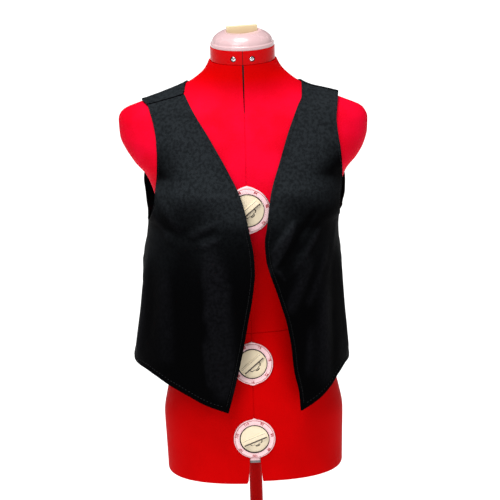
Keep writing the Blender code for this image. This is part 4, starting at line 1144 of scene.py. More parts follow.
@dataclass
class Vest:
    """The vest's two fronts and its back, their pressed edges, creases and stitches."""

    cloth: ClothShape
    finishes: Finishes
    near: float = 0.0010
    draft_rows: int = 66
    hem_rows: int = 12
    underarm_row: int = 72
    neck_stitched: float = 0.096
    armhole_round: float = 1.6
    yoke_neck: float = 0.078
    border_columns: float = 4.0
    layer_rise: float = 0.00042
    seam_dip: float = 0.00100
    seam_swell: float = 0.00030
    fold_height: float = 0.0032
    crease_height: float = 0.0016
    # seam_shade and fold_shade: how far the painted shade along the top border's seam and along the pressed
    # edge's turned-in line lowers the fold share.
    seam_shade: float = 5.0
    fold_shade: float = 2.6
    rim_out: float = 0.00012
    edge_fold: float = 0.0064
    armhole_fold: float = 0.0062
    hem_fold: float = 0.0082
    armhole_stitches: StitchRow = StitchRow(0.0062, 0.0034, 0.0019)
    edge_stitches: StitchRow = StitchRow(0.0062, 0.0032, 0.0021, 0.00034)
    hem_stitches: StitchRow = StitchRow(0.0082, 0.0060, 0.0027)

    def seam(self, shoulder: Shoulder, count: int) -> Array:
        """A shoulder seam's points, from the neck to the armhole."""
        share = np.linspace(0, 1, count + 1)
        across = shoulder.neck_across + (shoulder.arm_across - shoulder.neck_across) * share
        angle = shoulder.neck_turn + (shoulder.arm_turn - shoulder.neck_turn) * share
        return self.cloth.over_shoulder(across, angle)

    def hem_height(self, side: int, turn: Array) -> Array:
        """The hem's height at a turn, on one side of the body."""
        marks = RIGHT_HEM if side < 0 else LEFT_HEM
        return SmoothCurve([m.turn for m in marks], [m.height for m in marks])(np.abs(turn))

    @staticmethod
    def border(marks: Sequence[Mark], first: Mark | None = None, last: Mark | None = None) -> SmoothCurve:
        """How far a border stands across, by height, with its exact ends."""
        rows = ([first] if first else []) + list(marks) + ([last] if last else [])
        return SmoothCurve([m.height for m in rows], [m.across for m in rows])

    def front_grid(self, side: int, wide: int = 160, high: int = 60) -> Array:
        """A front's inner face: rows from the hem to the shoulder seam, each from the
        front edge to the side seam or the armhole.

        Args:
            side: -1 for the right front and 1 for the left.
            wide: Steps across.
            high: Steps from the underarm to the shoulder.

        Returns:
            The grid of points.
        """
        right = side < 0
        edge_marks = RIGHT_FRONT_EDGE if right else LEFT_FRONT_EDGE
        armhole_marks = RIGHT_FRONT_ARMHOLE if right else LEFT_FRONT_ARMHOLE
        underarm = RIGHT_UNDERARM if right else LEFT_UNDERARM
        seam = self.seam(RIGHT_SHOULDER if right else LEFT_SHOULDER, wide)
        edge = self.border(edge_marks, last=Mark(seam[0, 2], seam[0, 0]))
        side_across = float(self.cloth.point(side * 90.0, underarm)[0])
        armhole = self.border(
            armhole_marks, first=Mark(underarm, side_across), last=Mark(seam[-1, 2], seam[-1, 0])
        )
        along = np.linspace(0, 1, wide + 1)[None, :]
        tip, side_hem = edge_marks[0], float(self.hem_height(side, 90.0))
        share = np.linspace(0, 1, self.draft_rows + 1)[:-1, None]
        edge_height = tip.height + (underarm - tip.height) * share
        side_height = side_hem + (underarm - side_hem) * share
        first = self.cloth.turn_of(edge(edge_height), edge_height)
        hem_first = self.cloth.turn_of(tip.across, tip.height)
        hem_turn = hem_first + (side * 90 - hem_first) * along
        chord = tip.height + (side_hem - tip.height) * along
        bow = (self.hem_height(side, hem_turn) - chord) * (1 - share)
        lower = self.cloth.point(
            first + (side * 90 - first) * along, edge_height + (side_height - edge_height) * along + bow
        )
        share = np.linspace(0, 1, high + 1)[:-1, None]
        edge_height = underarm + (seam[0, 2] - underarm) * share
        arm_height = underarm + (seam[-1, 2] - underarm) * share**self.armhole_round
        first = self.cloth.turn_of(edge(edge_height), edge_height)
        last = self.cloth.turn_of(armhole(arm_height), arm_height)
        last[0] = side * 90
        chord = seam[0, 2] + (seam[-1, 2] - seam[0, 2]) * along
        bow = (seam[None, :, 2] - chord) * share
        ends = self.cloth.turn_of(seam[:, 0], seam[:, 2])[None, :]
        even = ends[:, :1] + (ends[:, -1:] - ends[:, :1]) * along
        upper = self.cloth.point(
            first + (last - first) * along + (ends - even) * share**4,
            edge_height + (arm_height - edge_height) * along + bow,
        )
        return np.concatenate([lower, upper, seam[None]])

    def back_grid(self, middle: int = 40, high: int = 46, fine: int = 8) -> Array:
        """The back's inner face: rows from the hem up, over the shoulders' ridges to the
        shoulder seams, each from the wearer's right to the left.

        Args:
            middle: Steps from the underarm to the yoke line.
            high: Steps over the shoulder.
            fine: Steps for each of the draft's columns.

        Returns:
            The grid of points.
        """
        side_columns, half = 10, len(RIGHT_BACK_NECK)
        count = 2 * side_columns + 2 * half
        yoke_ends = (RIGHT_BACK_ARMHOLE[-1].across, LEFT_BACK_ARMHOLE[-1].across)
        start, end, angle = (np.zeros(count + 1) for _ in range(3))
        for j in range(count + 1):
            k = min(j, count - j)
            right = j <= count // 2
            shoulder, sign = (RIGHT_SHOULDER, -1) if right else (LEFT_SHOULDER, 1)
            outer = yoke_ends[0 if right else 1]
            if k <= side_columns:
                share = 1 - k / side_columns
                start[j] = outer + (sign * self.yoke_neck - outer) * (1 - share)
                end[j] = shoulder.neck_across + (shoulder.arm_across - shoulder.neck_across) * share
                angle[j] = shoulder.neck_turn + (shoulder.arm_turn - shoulder.neck_turn) * share
            else:
                edge = RIGHT_BACK_NECK if right else LEFT_BACK_NECK
                turn, width = edge[min(k - side_columns - 1, half - 1)]
                start[j], end[j], angle[j] = sign * self.yoke_neck * width, shoulder.neck_across * width, turn
        columns_at = np.arange(count + 1)
        j = np.linspace(0, count, count * fine + 1)
        start, end, angle = (SmoothCurve(columns_at, row)(j) for row in (start, end, angle))
        along = (j / count)[None, :]

        turn = -90 - 180 * along
        around = np.where(turn >= -180, np.abs(turn), 360 - np.abs(turn))
        hem = np.where(turn >= -180, self.hem_height(-1, around), self.hem_height(1, around))
        underarm = RIGHT_UNDERARM + (LEFT_UNDERARM - RIGHT_UNDERARM) * along
        share = np.linspace(0, 1, self.draft_rows + 1)[:-1, None]
        lower = self.cloth.point(turn, hem + (underarm - hem) * share)

        borders = []
        for marks, under, side in (
            (RIGHT_BACK_ARMHOLE, RIGHT_UNDERARM, -1), (LEFT_BACK_ARMHOLE, LEFT_UNDERARM, 1)
        ):
            across = float(self.cloth.point(side * 90.0, under)[0])
            borders.append(self.border(marks, first=Mark(under, across)))
        share = np.linspace(0, 1, middle + 1)[:-1, None]
        risen = share**self.armhole_round
        yoke = self.cloth.yoke_height
        heights = [under + (yoke - under) * risen for under in (RIGHT_UNDERARM, LEFT_UNDERARM)]
        first = self.cloth.turn_of(borders[0](heights[0]), heights[0], behind=True)
        last = self.cloth.turn_of(borders[1](heights[1]), heights[1], behind=True)
        first[0], last[0] = -90.0, 90.0
        even = first + (last - 360 - first) * along
        ends = smooth_step(np.abs(2 * along - 1), 0.35, 1.0)
        level = heights[0] + (heights[1] - heights[0]) * along
        even_level = underarm + (yoke - underarm) * share
        level = even_level + (level - even_level) * ends
        spread = self.cloth.turn_of(start[None, :] + 0 * level, level, behind=True)
        spread = np.where(spread <= 0, spread, spread - 360)
        inside = smooth_step(np.minimum(j, count - j), 0.0, self.border_columns)
        upper = self.cloth.point(even + (spread - even) * share * inside, level)

        share = np.linspace(0, 1, high + 1)[:, None]
        across = start + (end - start) * share
        for index, shoulder, weight in (
            (0, RIGHT_SHOULDER, np.clip(1 - j, 0, 1)), (-1, LEFT_SHOULDER, np.clip(1 - (count - j), 0, 1))
        ):
            way = SmoothCurve((0.0, 90.0, angle[index]), (start[index], shoulder.ridge_arm_across, end[index]))
            straight = start[index] + (end[index] - start[index]) * share
            across = across + (way(angle[index] * share) - straight) * weight
        over = self.cloth.over_shoulder(across, angle * share)
        return np.concatenate([lower, upper, over])

    def relief(self, panel: ClothPanel, folds: dict[Border, Array], seams: dict[Border, Array]) -> Array:
        """How far pressed edges, seams and creases lift the outer face.

        Args:
            panel: The panel.
            folds: For each folded border, where along it the fold runs, from 0 to 1.
            seams: For each sewn border, where along it the seam runs, from 0 to 1.

        Returns:
            The lift of each point, in metres.
        """
        depth = {
            Border.FIRST_COLUMN: self.edge_fold, Border.LAST_COLUMN: self.armhole_fold,
            Border.HEM: self.hem_fold, Border.TOP: self.armhole_fold,
        }
        height, turn = panel.points[..., 2], panel.turns()
        fitted = smooth_step(height, 1.06, 1.15)
        lift = self.cloth.fold_lift(CREASES, turn, height)
        lift = np.where(lift < 0, lift * (1 - 0.9 * fitted), lift * (1 - 0.35 * fitted))
        for border, there in folds.items():
            away, run, fold = panel.away(border), panel.along(border), depth[border]
            if panel.name == "vest_back" and border is Border.FIRST_COLUMN:
                fold = self.armhole_fold
            pucker = np.sin(run / 0.0017 + 1.7 * np.sin(run / 0.0061)) * np.exp(-((away / fold - 0.8) ** 2) * 3)
            layer = self.layer_rise * (1 - smooth_step(away, fold - 0.0006, fold + 0.0014))
            groove = -self.layer_rise * np.exp(-(((away - fold) / 0.0010) ** 2))
            roll = 0.00026 * np.exp(-(((away - 0.0013) / 0.0013) ** 2))
            lift = lift + (layer + groove + roll + 0.00010 * pucker) * there
        for border, there in seams.items():
            away, run = panel.away(border), panel.along(border)
            pucker = np.sin(run / 0.0021 + 1.9 * np.sin(run / 0.0083)) * np.exp(-((away / 0.006) ** 2))
            swell = self.seam_swell * np.exp(-(((away - 0.0052) / 0.0026) ** 2))
            dip = -self.seam_dip * np.exp(-((away / 0.0018) ** 2)) + swell
            lift = lift + (dip + 0.00014 * pucker) * there
        return lift

    def shell(self, panel: ClothPanel, outer: Array, inner: Array) -> Piece:
        """A closed thin shell from a panel's two faces, with rounded rims.

        Args:
            panel: The panel.
            outer: The outer face's points.
            inner: The inner face's points.

        Returns:
            The cloth's mesh object, with its grain in metres on each point.
        """
        high, wide = inner.shape[:2]
        count = high * wide
        index = np.arange(count).reshape(high, wide)
        quads = np.stack([index[:-1, :-1], index[:-1, 1:], index[1:, 1:], index[1:, :-1]], axis=-1)
        quads = quads.reshape(-1, 4)
        faces = [q[::-1] if panel.outward < 0 else q for q in quads.tolist()]
        faces += [[v + count for v in (q if panel.outward < 0 else q[::-1])] for q in quads.tolist()]
        loop = np.concatenate([index[0, :-1], index[:-1, -1], index[-1, :0:-1], index[:0:-1, 0]])
        middle = (outer + inner) / 2
        inward = np.zeros_like(middle)
        inward[:, 0] += unit(middle[:, 1] - middle[:, 0])
        inward[:, -1] += unit(middle[:, -2] - middle[:, -1])
        inward[0] += unit(middle[1] - middle[0])
        inward[-1] += unit(middle[-2] - middle[-1])
        rim = middle.reshape(-1, 3)[loop] - unit(inward.reshape(-1, 3)[loop]) * self.rim_out
        start = 2 * count
        ring = np.arange(start, start + len(loop))
        for a, b in ((loop, ring), (ring, loop + count)):
            for k in range(len(loop)):
                after = (k + 1) % len(loop)
                face = [int(a[k]), int(b[k]), int(b[after]), int(a[after])]
                faces.append(face if panel.outward < 0 else face[::-1])
        points = np.concatenate([outer.reshape(-1, 3), inner.reshape(-1, 3), rim])
        made = mesh_piece(panel.name + "_cloth", points, faces, self.finishes.twill, 60.0, tidy=True)
        height, turn = panel.points[..., 2], panel.turns()
        large, small = (self.cloth.fold_lift(table, turn, height) for table in (FOLDS, CREASES))
        folds = large / self.fold_height + small / self.crease_height
        beside, top = panel.away(Border.FIRST_COLUMN), panel.away(Border.TOP)
        turned_in = (beside - self.edge_fold) / 0.0012
        # Painted shade: the fold share is lowered along the top border's seam and along the line one edge fold
        # inside the first column, which keeps the cloth there at its darkest colour.
        folds = folds - self.seam_shade * np.exp(-((top / 0.0019) ** 2))
        folds = folds - self.fold_shade * np.exp(-(turned_in**2))
        grain = stack(beside, panel.away(Border.HEM), folds).reshape(-1, 3)
        grain = np.concatenate([grain, grain, grain[loop]])
        made.data.attributes.new("grain", "FLOAT_VECTOR", "POINT").data.foreach_set("vector", grain.ravel())
        return made

    def stitches(
        self, name: str, runs: Sequence[tuple[Array, Array, StitchRow]]
    ) -> Piece:
        """Rows of stitches as short rounded strands, half sunk in the cloth.

        Args:
            name: The piece's name.
            runs: For each row, its line's points, the outward directions there, and its sizes.

        Returns:
            The stitches as one mesh object.
        """
        sides, rings = 6, ((-0.5, 0.35), (-0.36, 0.9), (0.0, 1.0), (0.36, 0.9), (0.5, 0.35))
        corner = np.arange(sides) * 2 * math.pi / sides
        points, faces = [], []
        for line, out, row in runs:
            run = run_along(line)
            at = np.arange(row.pitch, run[-1] - row.pitch, row.pitch)
            at = at + 0.10 * row.pitch * np.sin(at * 911.0)
            centre, up = points_at(at, run, line), unit(points_at(at, run, out))
            along = unit(points_at(at + 0.0015, run, line) - centre)
            across = np.cross(up, along)
            centre = centre - up * row.thickness * 0.12
            for c, a, s, u in zip(centre, along, across, up):
                base = len(points)
                for place, share in rings:
                    middle = c + a * row.length * place - u * row.thickness * (0.5 if abs(place) > 0.4 else 0.0)
                    for angle in corner:
                        radius = row.thickness * share
                        points.append(middle + s * math.cos(angle) * radius + u * math.sin(angle) * radius)
                for r in range(len(rings) - 1):
                    for k in range(sides):
                        low, after = base + r * sides, (k + 1) % sides
                        faces.append([low + k, low + after, low + sides + after, low + sides + k])
                faces.append([base + k for k in range(sides)][::-1])
                faces.append([base + (len(rings) - 1) * sides + k for k in range(sides)])
        return mesh_piece(name, np.array(points), faces, self.finishes.thread, 80.0)

    def part_at_seams(self, points: Array, sides: Sequence[tuple[Border, slice]]) -> Array:
        """Moves a panel's seam points half the seam's gap into the panel."""
        moved = points.copy()
        for border, stretch in sides:
            if border is Border.LAST_COLUMN:
                moved[stretch, -1] += unit(points[stretch, -2] - points[stretch, -1]) * SEAM_GAP / 2
            elif border is Border.FIRST_COLUMN:
                moved[stretch, 0] += unit(points[stretch, 1] - points[stretch, 0]) * SEAM_GAP / 2
            else:
                moved[-1, stretch] += unit(points[-2, stretch] - points[-1, stretch]) * SEAM_GAP / 2
        return moved

    def make_panel(
        self, name: str, grid: Array, outward: int, seams: Callable[[ClothPanel], tuple],
    ) -> tuple[ClothPanel, Array, Piece]:
        """A panel's cloth from its draft grid.

        Args:
            name: The node that it replaces.
            grid: The draft's points.
            outward: 1 where columns by rows turn outward, else -1.
            seams: Gives the panel's folded and sewn borders.

        Returns:
            The panel, its outer face and its object.
        """
        steps_up, steps_across = (66, 52) if "front" in name else (92, 116)
        lower, upper = grid[: self.draft_rows + 1].swapaxes(0, 1), grid[self.draft_rows:].swapaxes(0, 1)
        lower = resample(lower, self.hem_rows, 0, self.underarm_row - self.hem_rows, self.near).swapaxes(0, 1)
        upper = resample(upper, 0, 8, steps_up, self.near).swapaxes(0, 1)[1:]
        points = resample(np.concatenate([lower, upper]), 13, 13, steps_across, self.near)
        panel = ClothPanel(name, points, outward)
        folds, sewn, parted = seams(panel)
        panel.points = self.part_at_seams(points, parted)
        lift = self.relief(panel, folds, sewn)
        normals = panel.normals(panel.points)
        outer = panel.points + normals * (CLOTH_WALL + lift)[..., None]
        inner = panel.points + normals * np.minimum(lift * 0.7, 0.002)[..., None]
        made = self.shell(panel, outer, inner)
        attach(made, "figure")
        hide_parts(name)
        return panel, outer, made

    def stitch_line(
        self, panel: ClothPanel, outer: Array, border: Border, row: StitchRow, stretch: slice | Array,
    ) -> tuple[Array, Array, StitchRow]:
        """A row of stitches beside a stretch of a border: its points, outward directions and sizes."""
        line, out = panel.inset_line(outer, border, row.inside)
        return line[stretch], out[stretch], row

    def finish_panel(self, made: Piece, name: str, runs: Sequence[tuple]) -> Piece:
        """Sews a panel's rows of stitches, and gives them."""
        sewn = self.stitches(name + "_stitches", runs)
        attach(sewn, "figure")
        log.info("%s: %d faces", made.name, len(made.data.polygons))
        return sewn

    def seamed(self, panel: ClothPanel) -> Array:
        """How far each row lies on the side seam: 1 below the underarm and 0 above it."""
        rows_up = np.arange(panel.points.shape[0])[:, None]
        return 1 - smooth_step(rows_up, self.underarm_row - 3, self.underarm_row + 3)

    def front_seams(self, panel: ClothPanel) -> tuple:
        """A front's folded borders, its sewn borders, and the stretches parted from their neighbours."""
        below = self.seamed(panel)
        folds = {Border.FIRST_COLUMN: 1.0, Border.LAST_COLUMN: 1 - below, Border.HEM: 1.0}
        parted = [(Border.LAST_COLUMN, slice(0, self.underarm_row + 1)), (Border.TOP, slice(None))]
        return folds, {Border.LAST_COLUMN: below, Border.TOP: 1.0}, parted

    def back_seams(self, panel: ClothPanel) -> tuple:
        """The back's folded borders, its sewn borders, and the stretches parted from their neighbours."""
        below = self.seamed(panel)
        across = panel.points[-1, :, 0]
        point = np.where(across < 0, -RIGHT_SHOULDER.neck_across, LEFT_SHOULDER.neck_across)
        neck = 1 - smooth_step(np.abs(across) - point, -0.0055, -0.0005)[None, :]
        folds = {
            Border.FIRST_COLUMN: 1 - below, Border.LAST_COLUMN: 1 - below, Border.HEM: 1.0,
            Border.TOP: neck * np.ones_like(below),
        }
        sewn = {Border.FIRST_COLUMN: below, Border.LAST_COLUMN: below, Border.TOP: 1 - neck}
        on_seam = np.flatnonzero(np.abs(across) > point - 0.0005)
        split = int(np.flatnonzero(np.diff(on_seam) > 1)[0])
        sides = slice(0, self.underarm_row + 1)
        parted = [
            (Border.FIRST_COLUMN, sides), (Border.LAST_COLUMN, sides),
            (Border.TOP, slice(0, int(on_seam[split]) + 1)), (Border.TOP, slice(int(on_seam[split + 1]), None)),
        ]
        return folds, sewn, parted

    def build_front(self, side: int) -> None:
        """A front with its pressed edge, its hem and its stitches.

        Args:
            side: -1 for the right front and 1 for the left.
        """
        right = side < 0
        name = "vest_front_right" if right else "vest_front_left"
        panel, outer, made = self.make_panel(name, self.front_grid(side), side, self.front_seams)
        sewn = self.finish_panel(made, name, [
            self.stitch_line(panel, outer, *run) for run in (
                (Border.FIRST_COLUMN, self.edge_stitches, slice(9, -3)),
                (Border.LAST_COLUMN, self.armhole_stitches, slice(self.underarm_row + 1, -2)),
                (Border.HEM, self.hem_stitches, slice(9, -2)),
            )
        ])

    def build_back(self) -> None:
        """The back with its armhole, neck and hem stitches."""
        panel, outer, made = self.make_panel("vest_back", self.back_grid(), -1, self.back_seams)
        above = slice(self.underarm_row + 1, -2)
        middle = np.flatnonzero(np.abs(panel.points[-1, :, 0]) < self.neck_stitched)
        sewn = self.finish_panel(made, "vest_back", [
            self.stitch_line(panel, outer, *run) for run in (
                (Border.FIRST_COLUMN, self.armhole_stitches, above),
                (Border.LAST_COLUMN, self.armhole_stitches, above),
                (Border.HEM, self.hem_stitches, slice(1, -1)),
                (Border.TOP, self.armhole_stitches, middle),
            )
        ])


@dataclass
class Torso:
    """The form's body, finer than its solid, with its gaps and the lines between its halves."""

    form: FormShape
    finishes: Finishes
    pole_bore: float = 0.0116
    pole_top: float = 0.720
    panel_step: float = 0.0040
    edge_round: float = 0.0040
    line_turn: float = 0.11
    line_depth: float = 0.0011
    line_half: float = 0.00040
    waist_line: float = 0.8640
    rounded_below: float = 0.6095
    sides: int = 160
    rows: int = 170
    slot: tuple = ((-0.0086, 0.655), (-0.0092, 0.640), (-0.0118, 0.606), (-0.0150, 0.598), (-0.0150, 0.590))
    neck_gap: tuple = ((-0.0005, 1.235), (-0.0014, 1.290), (-0.0016, 1.320))

    def body(self) -> Piece:
        """The form before anything is cut, with fine lines where its shells meet."""
        lines = np.array([0.0, 90.0, 180.0, 270.0])
        even = np.arange(self.sides) * 360 / self.sides
        even = even[np.abs((even + 45) % 90 - 45) > 1]
        beside = [lines + k * self.line_turn for k in (-9, -2.4, -1, 1, 2.4, 9)]
        turn = np.sort(np.concatenate([even, *beside]) % 360)
        in_line = np.abs((turn + 45) % 90 - 45) < 1.5 * self.line_turn
        low = self.rounded_below
        rings = []
        for inset, rise in ((1.0, 0.0), (0.55, 0.0003), (0.25, 0.0012), (0.08, 0.0024), (0.0, 0.0042)):
            ring = self.form.point(turn, low)
            shrink = 1 - self.edge_round * inset / np.linalg.norm(ring[:, :2], axis=1)
            ring[:, :2] *= shrink[:, None]
            ring[:, 2] = FORM_BOTTOM + rise + self.panel_step * smooth_step(ring[:, 0], -0.010, 0.010)
            rings.append(ring)
        heights = np.linspace(low, NECK_TOP, self.rows)
        heights = heights[np.abs(heights - self.waist_line) > 0.002]
        beside = self.waist_line + self.line_half * np.array([-2.4, -1, 1, 2.4])
        for height in np.sort(np.concatenate([heights, beside])):
            sunk = in_line | (abs(height - self.waist_line) < 1.5 * self.line_half)
            ring = self.form.point(turn, height)
            rings.append(ring - self.form.normal(turn, height) * (sunk * self.line_depth)[:, None])
        count = len(turn)
        faces: list[list[int]] = [list(range(count))[::-1]]
        for i in range(len(rings) - 1):
            for k in range(count):
                a, b = i * count + k, i * count + (k + 1) % count
                faces.append([a, b, b + count, a + count])
        top = (len(rings) - 1) * count
        faces.append(list(range(top, top + count)))
        return mesh_piece("torso_form", np.concatenate(rings), faces, self.finishes.jersey, 35.0)

    def cutters(self) -> list[Piece]:
        """The bore for the pole and the two gaps in front, whose cut faces take the near-black painted shade.
        """
        mirrored = [(-x, z) for x, z in reversed(self.slot)]
        gap, dark = [(-x, z) for x, z in reversed(self.neck_gap)], self.finishes.painted_shade
        return [
            cylinder("bore", self.pole_bore, self.pole_top + FACE_GAP, 0.55, dark, 48),
            prism_piece("slot", list(self.slot) + mirrored, -0.150, 0.0, dark),
            prism_piece("neck_gap", list(self.neck_gap) + gap, -0.080, -0.0515, dark),
        ]

    def build(self, pockets: Sequence[Piece]) -> Piece:
        """The finished form.

        Args:
            pockets: Cutters for the dials' pockets.

        Returns:
            The form's object.
        """
        made = carve(self.body(), [*self.cutters(), *pockets], sharp=35.0)
        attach(made, "figure")
        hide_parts("torso")
        log.info("%s: %d faces", made.name, len(made.data.polygons))
        return made


@dataclass
class WidthDial:
    """A dial of the form: a ring with a plain scale, and a disc with a grip bar.

    Attributes:
        name: The dial's name.
        height: Its middle's height on the form.
        radius: The ring's radius.
        disc_radius: The disc's radius.
        grip_angle: How far its grip bar is turned, in degrees.
        nub_out: How far the ring's point stands out at its top.
        nub_turn: Half the angle that the point takes up, in degrees.
        nub_below: Whether it has another point at its bottom.
        labels: The numbers of its scale.
        form: The form that it sits in.
        finishes: The finishes.
    """

    name: str
    height: float
    radius: float
    disc_radius: float
    grip_angle: float
    nub_out: float
    nub_turn: float
    nub_below: bool
    labels: tuple[str, ...]
    form: FormShape
    finishes: Finishes
    sunk: float = 0.0042
    proud: float = 0.0022
    disc_proud: float = 0.0012
    grip_half: float = 0.0053
    grip_inside: float = 0.0040
    hollow_floor: float = -0.0012
    step_at: float = 0.925

    def frame(self) -> Matrix:
        """Where the dial sits, with Z straight out of the form."""
        out = self.form.normal(0.0, self.height)
        return facing_frame(Vector((0, out[1], out[2])).normalized(), Vector(self.form.point(0.0, self.height)))

    def outline(self, radius: float, turn: Array) -> Array:
        """What the ring's radius is multiplied by round it, for its points."""
        away = np.abs((np.degrees(turn) + 90) % 360 - 180)
        if self.nub_below:
            away = np.minimum(away, 180 - away)
        rise = self.nub_out * np.clip(1 - away / self.nub_turn, 0, 1) ** 1.2
        return 1 + rise / self.radius * (radius > self.radius * 0.94)

    def pocket(self) -> Piece:
        """The cutter for the dial's pocket in the form, whose cut faces take the near-black painted shade."""
        made = cylinder(
            f"{self.name}_pocket", self.radius + FACE_GAP, 0.02, -self.sunk - FACE_GAP, self.finishes.painted_shade,
            180, self.outline,
        )
        made.matrix_world = self.frame()
        return made

    def ring(self) -> Piece:
        """The ring, with a stepped flange that comes to a point above and below."""
        front, back, inner = self.proud, -self.sunk, self.disc_radius + FACE_GAP
        step, wide = self.radius * self.step_at, self.radius
        made = turned_piece(
            f"{self.name}_ring",
            soften([
                (inner, back), (inner, front - 0.0020), (inner + 0.0007, front - 0.0003),
                (inner + 0.0014, front), (step, front), (step + 0.0002, front - 0.0010),
                (step + 0.0007, front - 0.0010), (step + 0.0010, front - 0.0006),
                (wide - 0.0006, front - 0.0009), (wide, front - 0.0026), (wide, back),
            ], 0.0003),
            self.finishes.pink_plastic, 180, closed=True, swell=self.outline,
        )
        # Painted shade: the ring's inner edge beside the disc takes the near-black finish, and the step in its
        # flange a ring of red ink, for the shade in the groove and under the step.
        paint_between(made, 0.0, inner + 0.0009, self.finishes.painted_shade)
        paint_between(made, step + 0.0001, step + 0.0008, self.finishes.red_ink_and_step_shade)
        return made

    def disc(self) -> Piece:
        """The disc, with its grip bar over a sunk lower part, a tab with a wavy edge and a slit, and near-black
        painted shadow along the bar's lower edge and round the tab, and painted shade in the slit and a groove
        line.
        """
        top, rim, floor = self.disc_proud, self.disc_radius, self.hollow_floor
        disc = turned_piece(
            f"{self.name}_disc",
            soften([(0, top), (rim - 0.0010, top), (rim - 0.0004, top - 0.0006), (rim, top - 0.0018),
                    (rim, -self.sunk), (0, -self.sunk)], 0.0004),
            self.finishes.cream_plastic, 144,
        )
        # Painted shade: the disc's rim takes the near-black finish, for the shade in the gap round it.
        paint_between(disc, rim - 0.0007, rim + 0.001, self.finishes.painted_shade)
        cream, dark, reach = self.finishes.cream_plastic, self.finishes.painted_shade, rim - self.grip_inside
        half = self.grip_half
        grip = bevel(box_piece("grip", (-reach, -half, -0.003), (reach, half, self.proud), cream), 0.0006, 3)
        hollow = bevel(box_piece("hollow", (-0.030, -0.030, floor), (0.030, -half, 0.010), cream), 0.0010, 3)
        wave = [
            (-0.0095, -0.0045), (-0.0095, -0.0082), (-0.0078, -0.0100), (-0.0048, -0.0096), (-0.0022, -0.0112),
            (0.0012, -0.0116), (0.0042, -0.0100), (0.0072, -0.0106), (0.0095, -0.0084), (0.0095, -0.0045),
        ]
        tab = prism_piece("tab", wave, -(floor + 0.0016), 0.0030, cream)
        # Painted shadow: a near-black sheet a little larger than the tab shows round its wavy edge, and a
        # near-black strip runs along the grip bar's lower edge.
        under = prism_piece("under", [(x * 1.12, z * 1.10) for x, z in wave], -(floor + 0.0003), 0.0030, dark)
        shade = box_piece("shade", (-reach, -0.003, -half - 0.0003), (reach, -floor - 0.0003, -0.004), dark)
        # Painted shade: the groove line and the slit are cut with the near-black finish on their faces.
        line = box_piece("line", (-reach, 0.0026, self.proud - 0.0004), (reach, 0.0030, 0.010), dark)
        arc = [(0.0062 * math.sin(a), 0.0062 * math.cos(a)) for a in np.radians(np.linspace(-44, 44, 9))]
        arc += [(x * 0.80, z * 0.74) for x, z in reversed(arc)]
        slit = prism_piece("slit", [(x + 0.0005, -z - 0.0090) for x, z in arc], -0.010, -(floor - 0.0016), dark)
        for piece in (tab, under, shade, slit):
            piece.data.transform(spin(-90, "X"))
        carve(disc, [grip], "UNION")
        carve(disc, [hollow])
        carve(disc, [shade, under, bevel(tab, 0.0005)], "UNION")
        return carve(disc, [line, slit])

    def build(self) -> None:
        """The ring, its scale, and the disc."""
        frame = self.frame()
        ring, disc, scale = self.ring(), self.disc(), self.scale()
        ring.matrix_world = scale.matrix_world = frame
        disc.matrix_world = frame @ spin(self.grip_angle)
        for piece, slot in ((ring, "pink_plastic"), (disc, "cream_plastic"), (scale, "pink_plastic")):
            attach(piece, "figure")
        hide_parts(f"dial_ring_{self.name}")
        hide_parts(f"dial_disc_{self.name}")
        log.info("dial %s built", self.name)

    def tick(
        self, angle: float, inner: float, outer: float, half: float,
    ) -> tuple[list[Vector], list[list[int]]]:
        """A tick of the scale.

        Args:
            angle: Its angle from the ring's top.
            inner: Where it starts, from the ring's middle.
            outer: Where it ends.
            half: Half its width.

        Returns:
            Its points and faces.
        """
        along = Vector((math.sin(angle), math.cos(angle), 0))
        side = Vector((along.y, -along.x, 0)) * half
        points = [
            along * r + side * s + Vector((0, 0, z))
            for z in (self.proud - 0.0001, self.proud + 0.00014)
            for r, s in ((inner, -1), (outer, -1), (outer, 1), (inner, 1))
        ]
        faces = [[3, 2, 1, 0], [4, 5, 6, 7], [0, 1, 5, 4], [1, 2, 6, 5], [2, 3, 7, 6], [3, 0, 4, 7]]
        return points, faces

    def scale(self) -> Piece:
        """Ticks and plain numbers round the ring, a little proud of it."""
        points: list[Vector] = []
        faces: list[list[int]] = []
        inner, count = self.disc_radius + 0.0022, 8 * len(self.labels)
        for k in range(count):
            outer = inner + (0.0016 if k % 8 == 0 else 0.0009)
            some, sides = self.tick(k * 2 * math.pi / count, inner, outer, 0.00018)
            faces += [[v + len(points) for v in face] for face in sides]
            points += some
        made = mesh_piece(f"{self.name}_scale", np.array(points), faces, self.finishes.red_ink_and_step_shade, tidy=True)
        joined = bmesh.new()
        joined.from_mesh(made.data)
        for k, label in enumerate(self.labels):
            angle = (k + 0.5) * 360 / len(self.labels)
            text = bpy.data.curves.new("label", "FONT")
            text.body, text.size, text.extrude, text.offset = label, 0.0060, 0.00012, 0.00020
            text.align_x, text.align_y = "CENTER", "CENTER"
            carrier = add_object("label", text)
            bpy.context.view_layer.update()
            mesh = bpy.data.meshes.new_from_object(carrier.evaluated_get(bpy.context.evaluated_depsgraph_get()))
            middle = (inner + 0.0010 + self.radius * self.step_at) / 2
            mesh.transform(spin(-angle) @ Matrix.Translation((0, middle, self.proud)))
            joined.from_mesh(mesh)
            bpy.data.objects.remove(carrier, do_unlink=True)
        joined.to_mesh(made.data)
        joined.free()
        return made


class FingerHollow(NamedTuple):
    """A hollow of the cap beside its grip, cut by a flattened ball."""

    off: float
    height: float
    length: float
    depth: float
    rise: float


FINGER_HOLLOWS = table_rows(
    FingerHollow,
    (-0.0130, 1.3700, 0.0420, 0.0300, 0.0148), (0.0050, 1.3690, 0.0240, 0.0130, 0.0110),
)


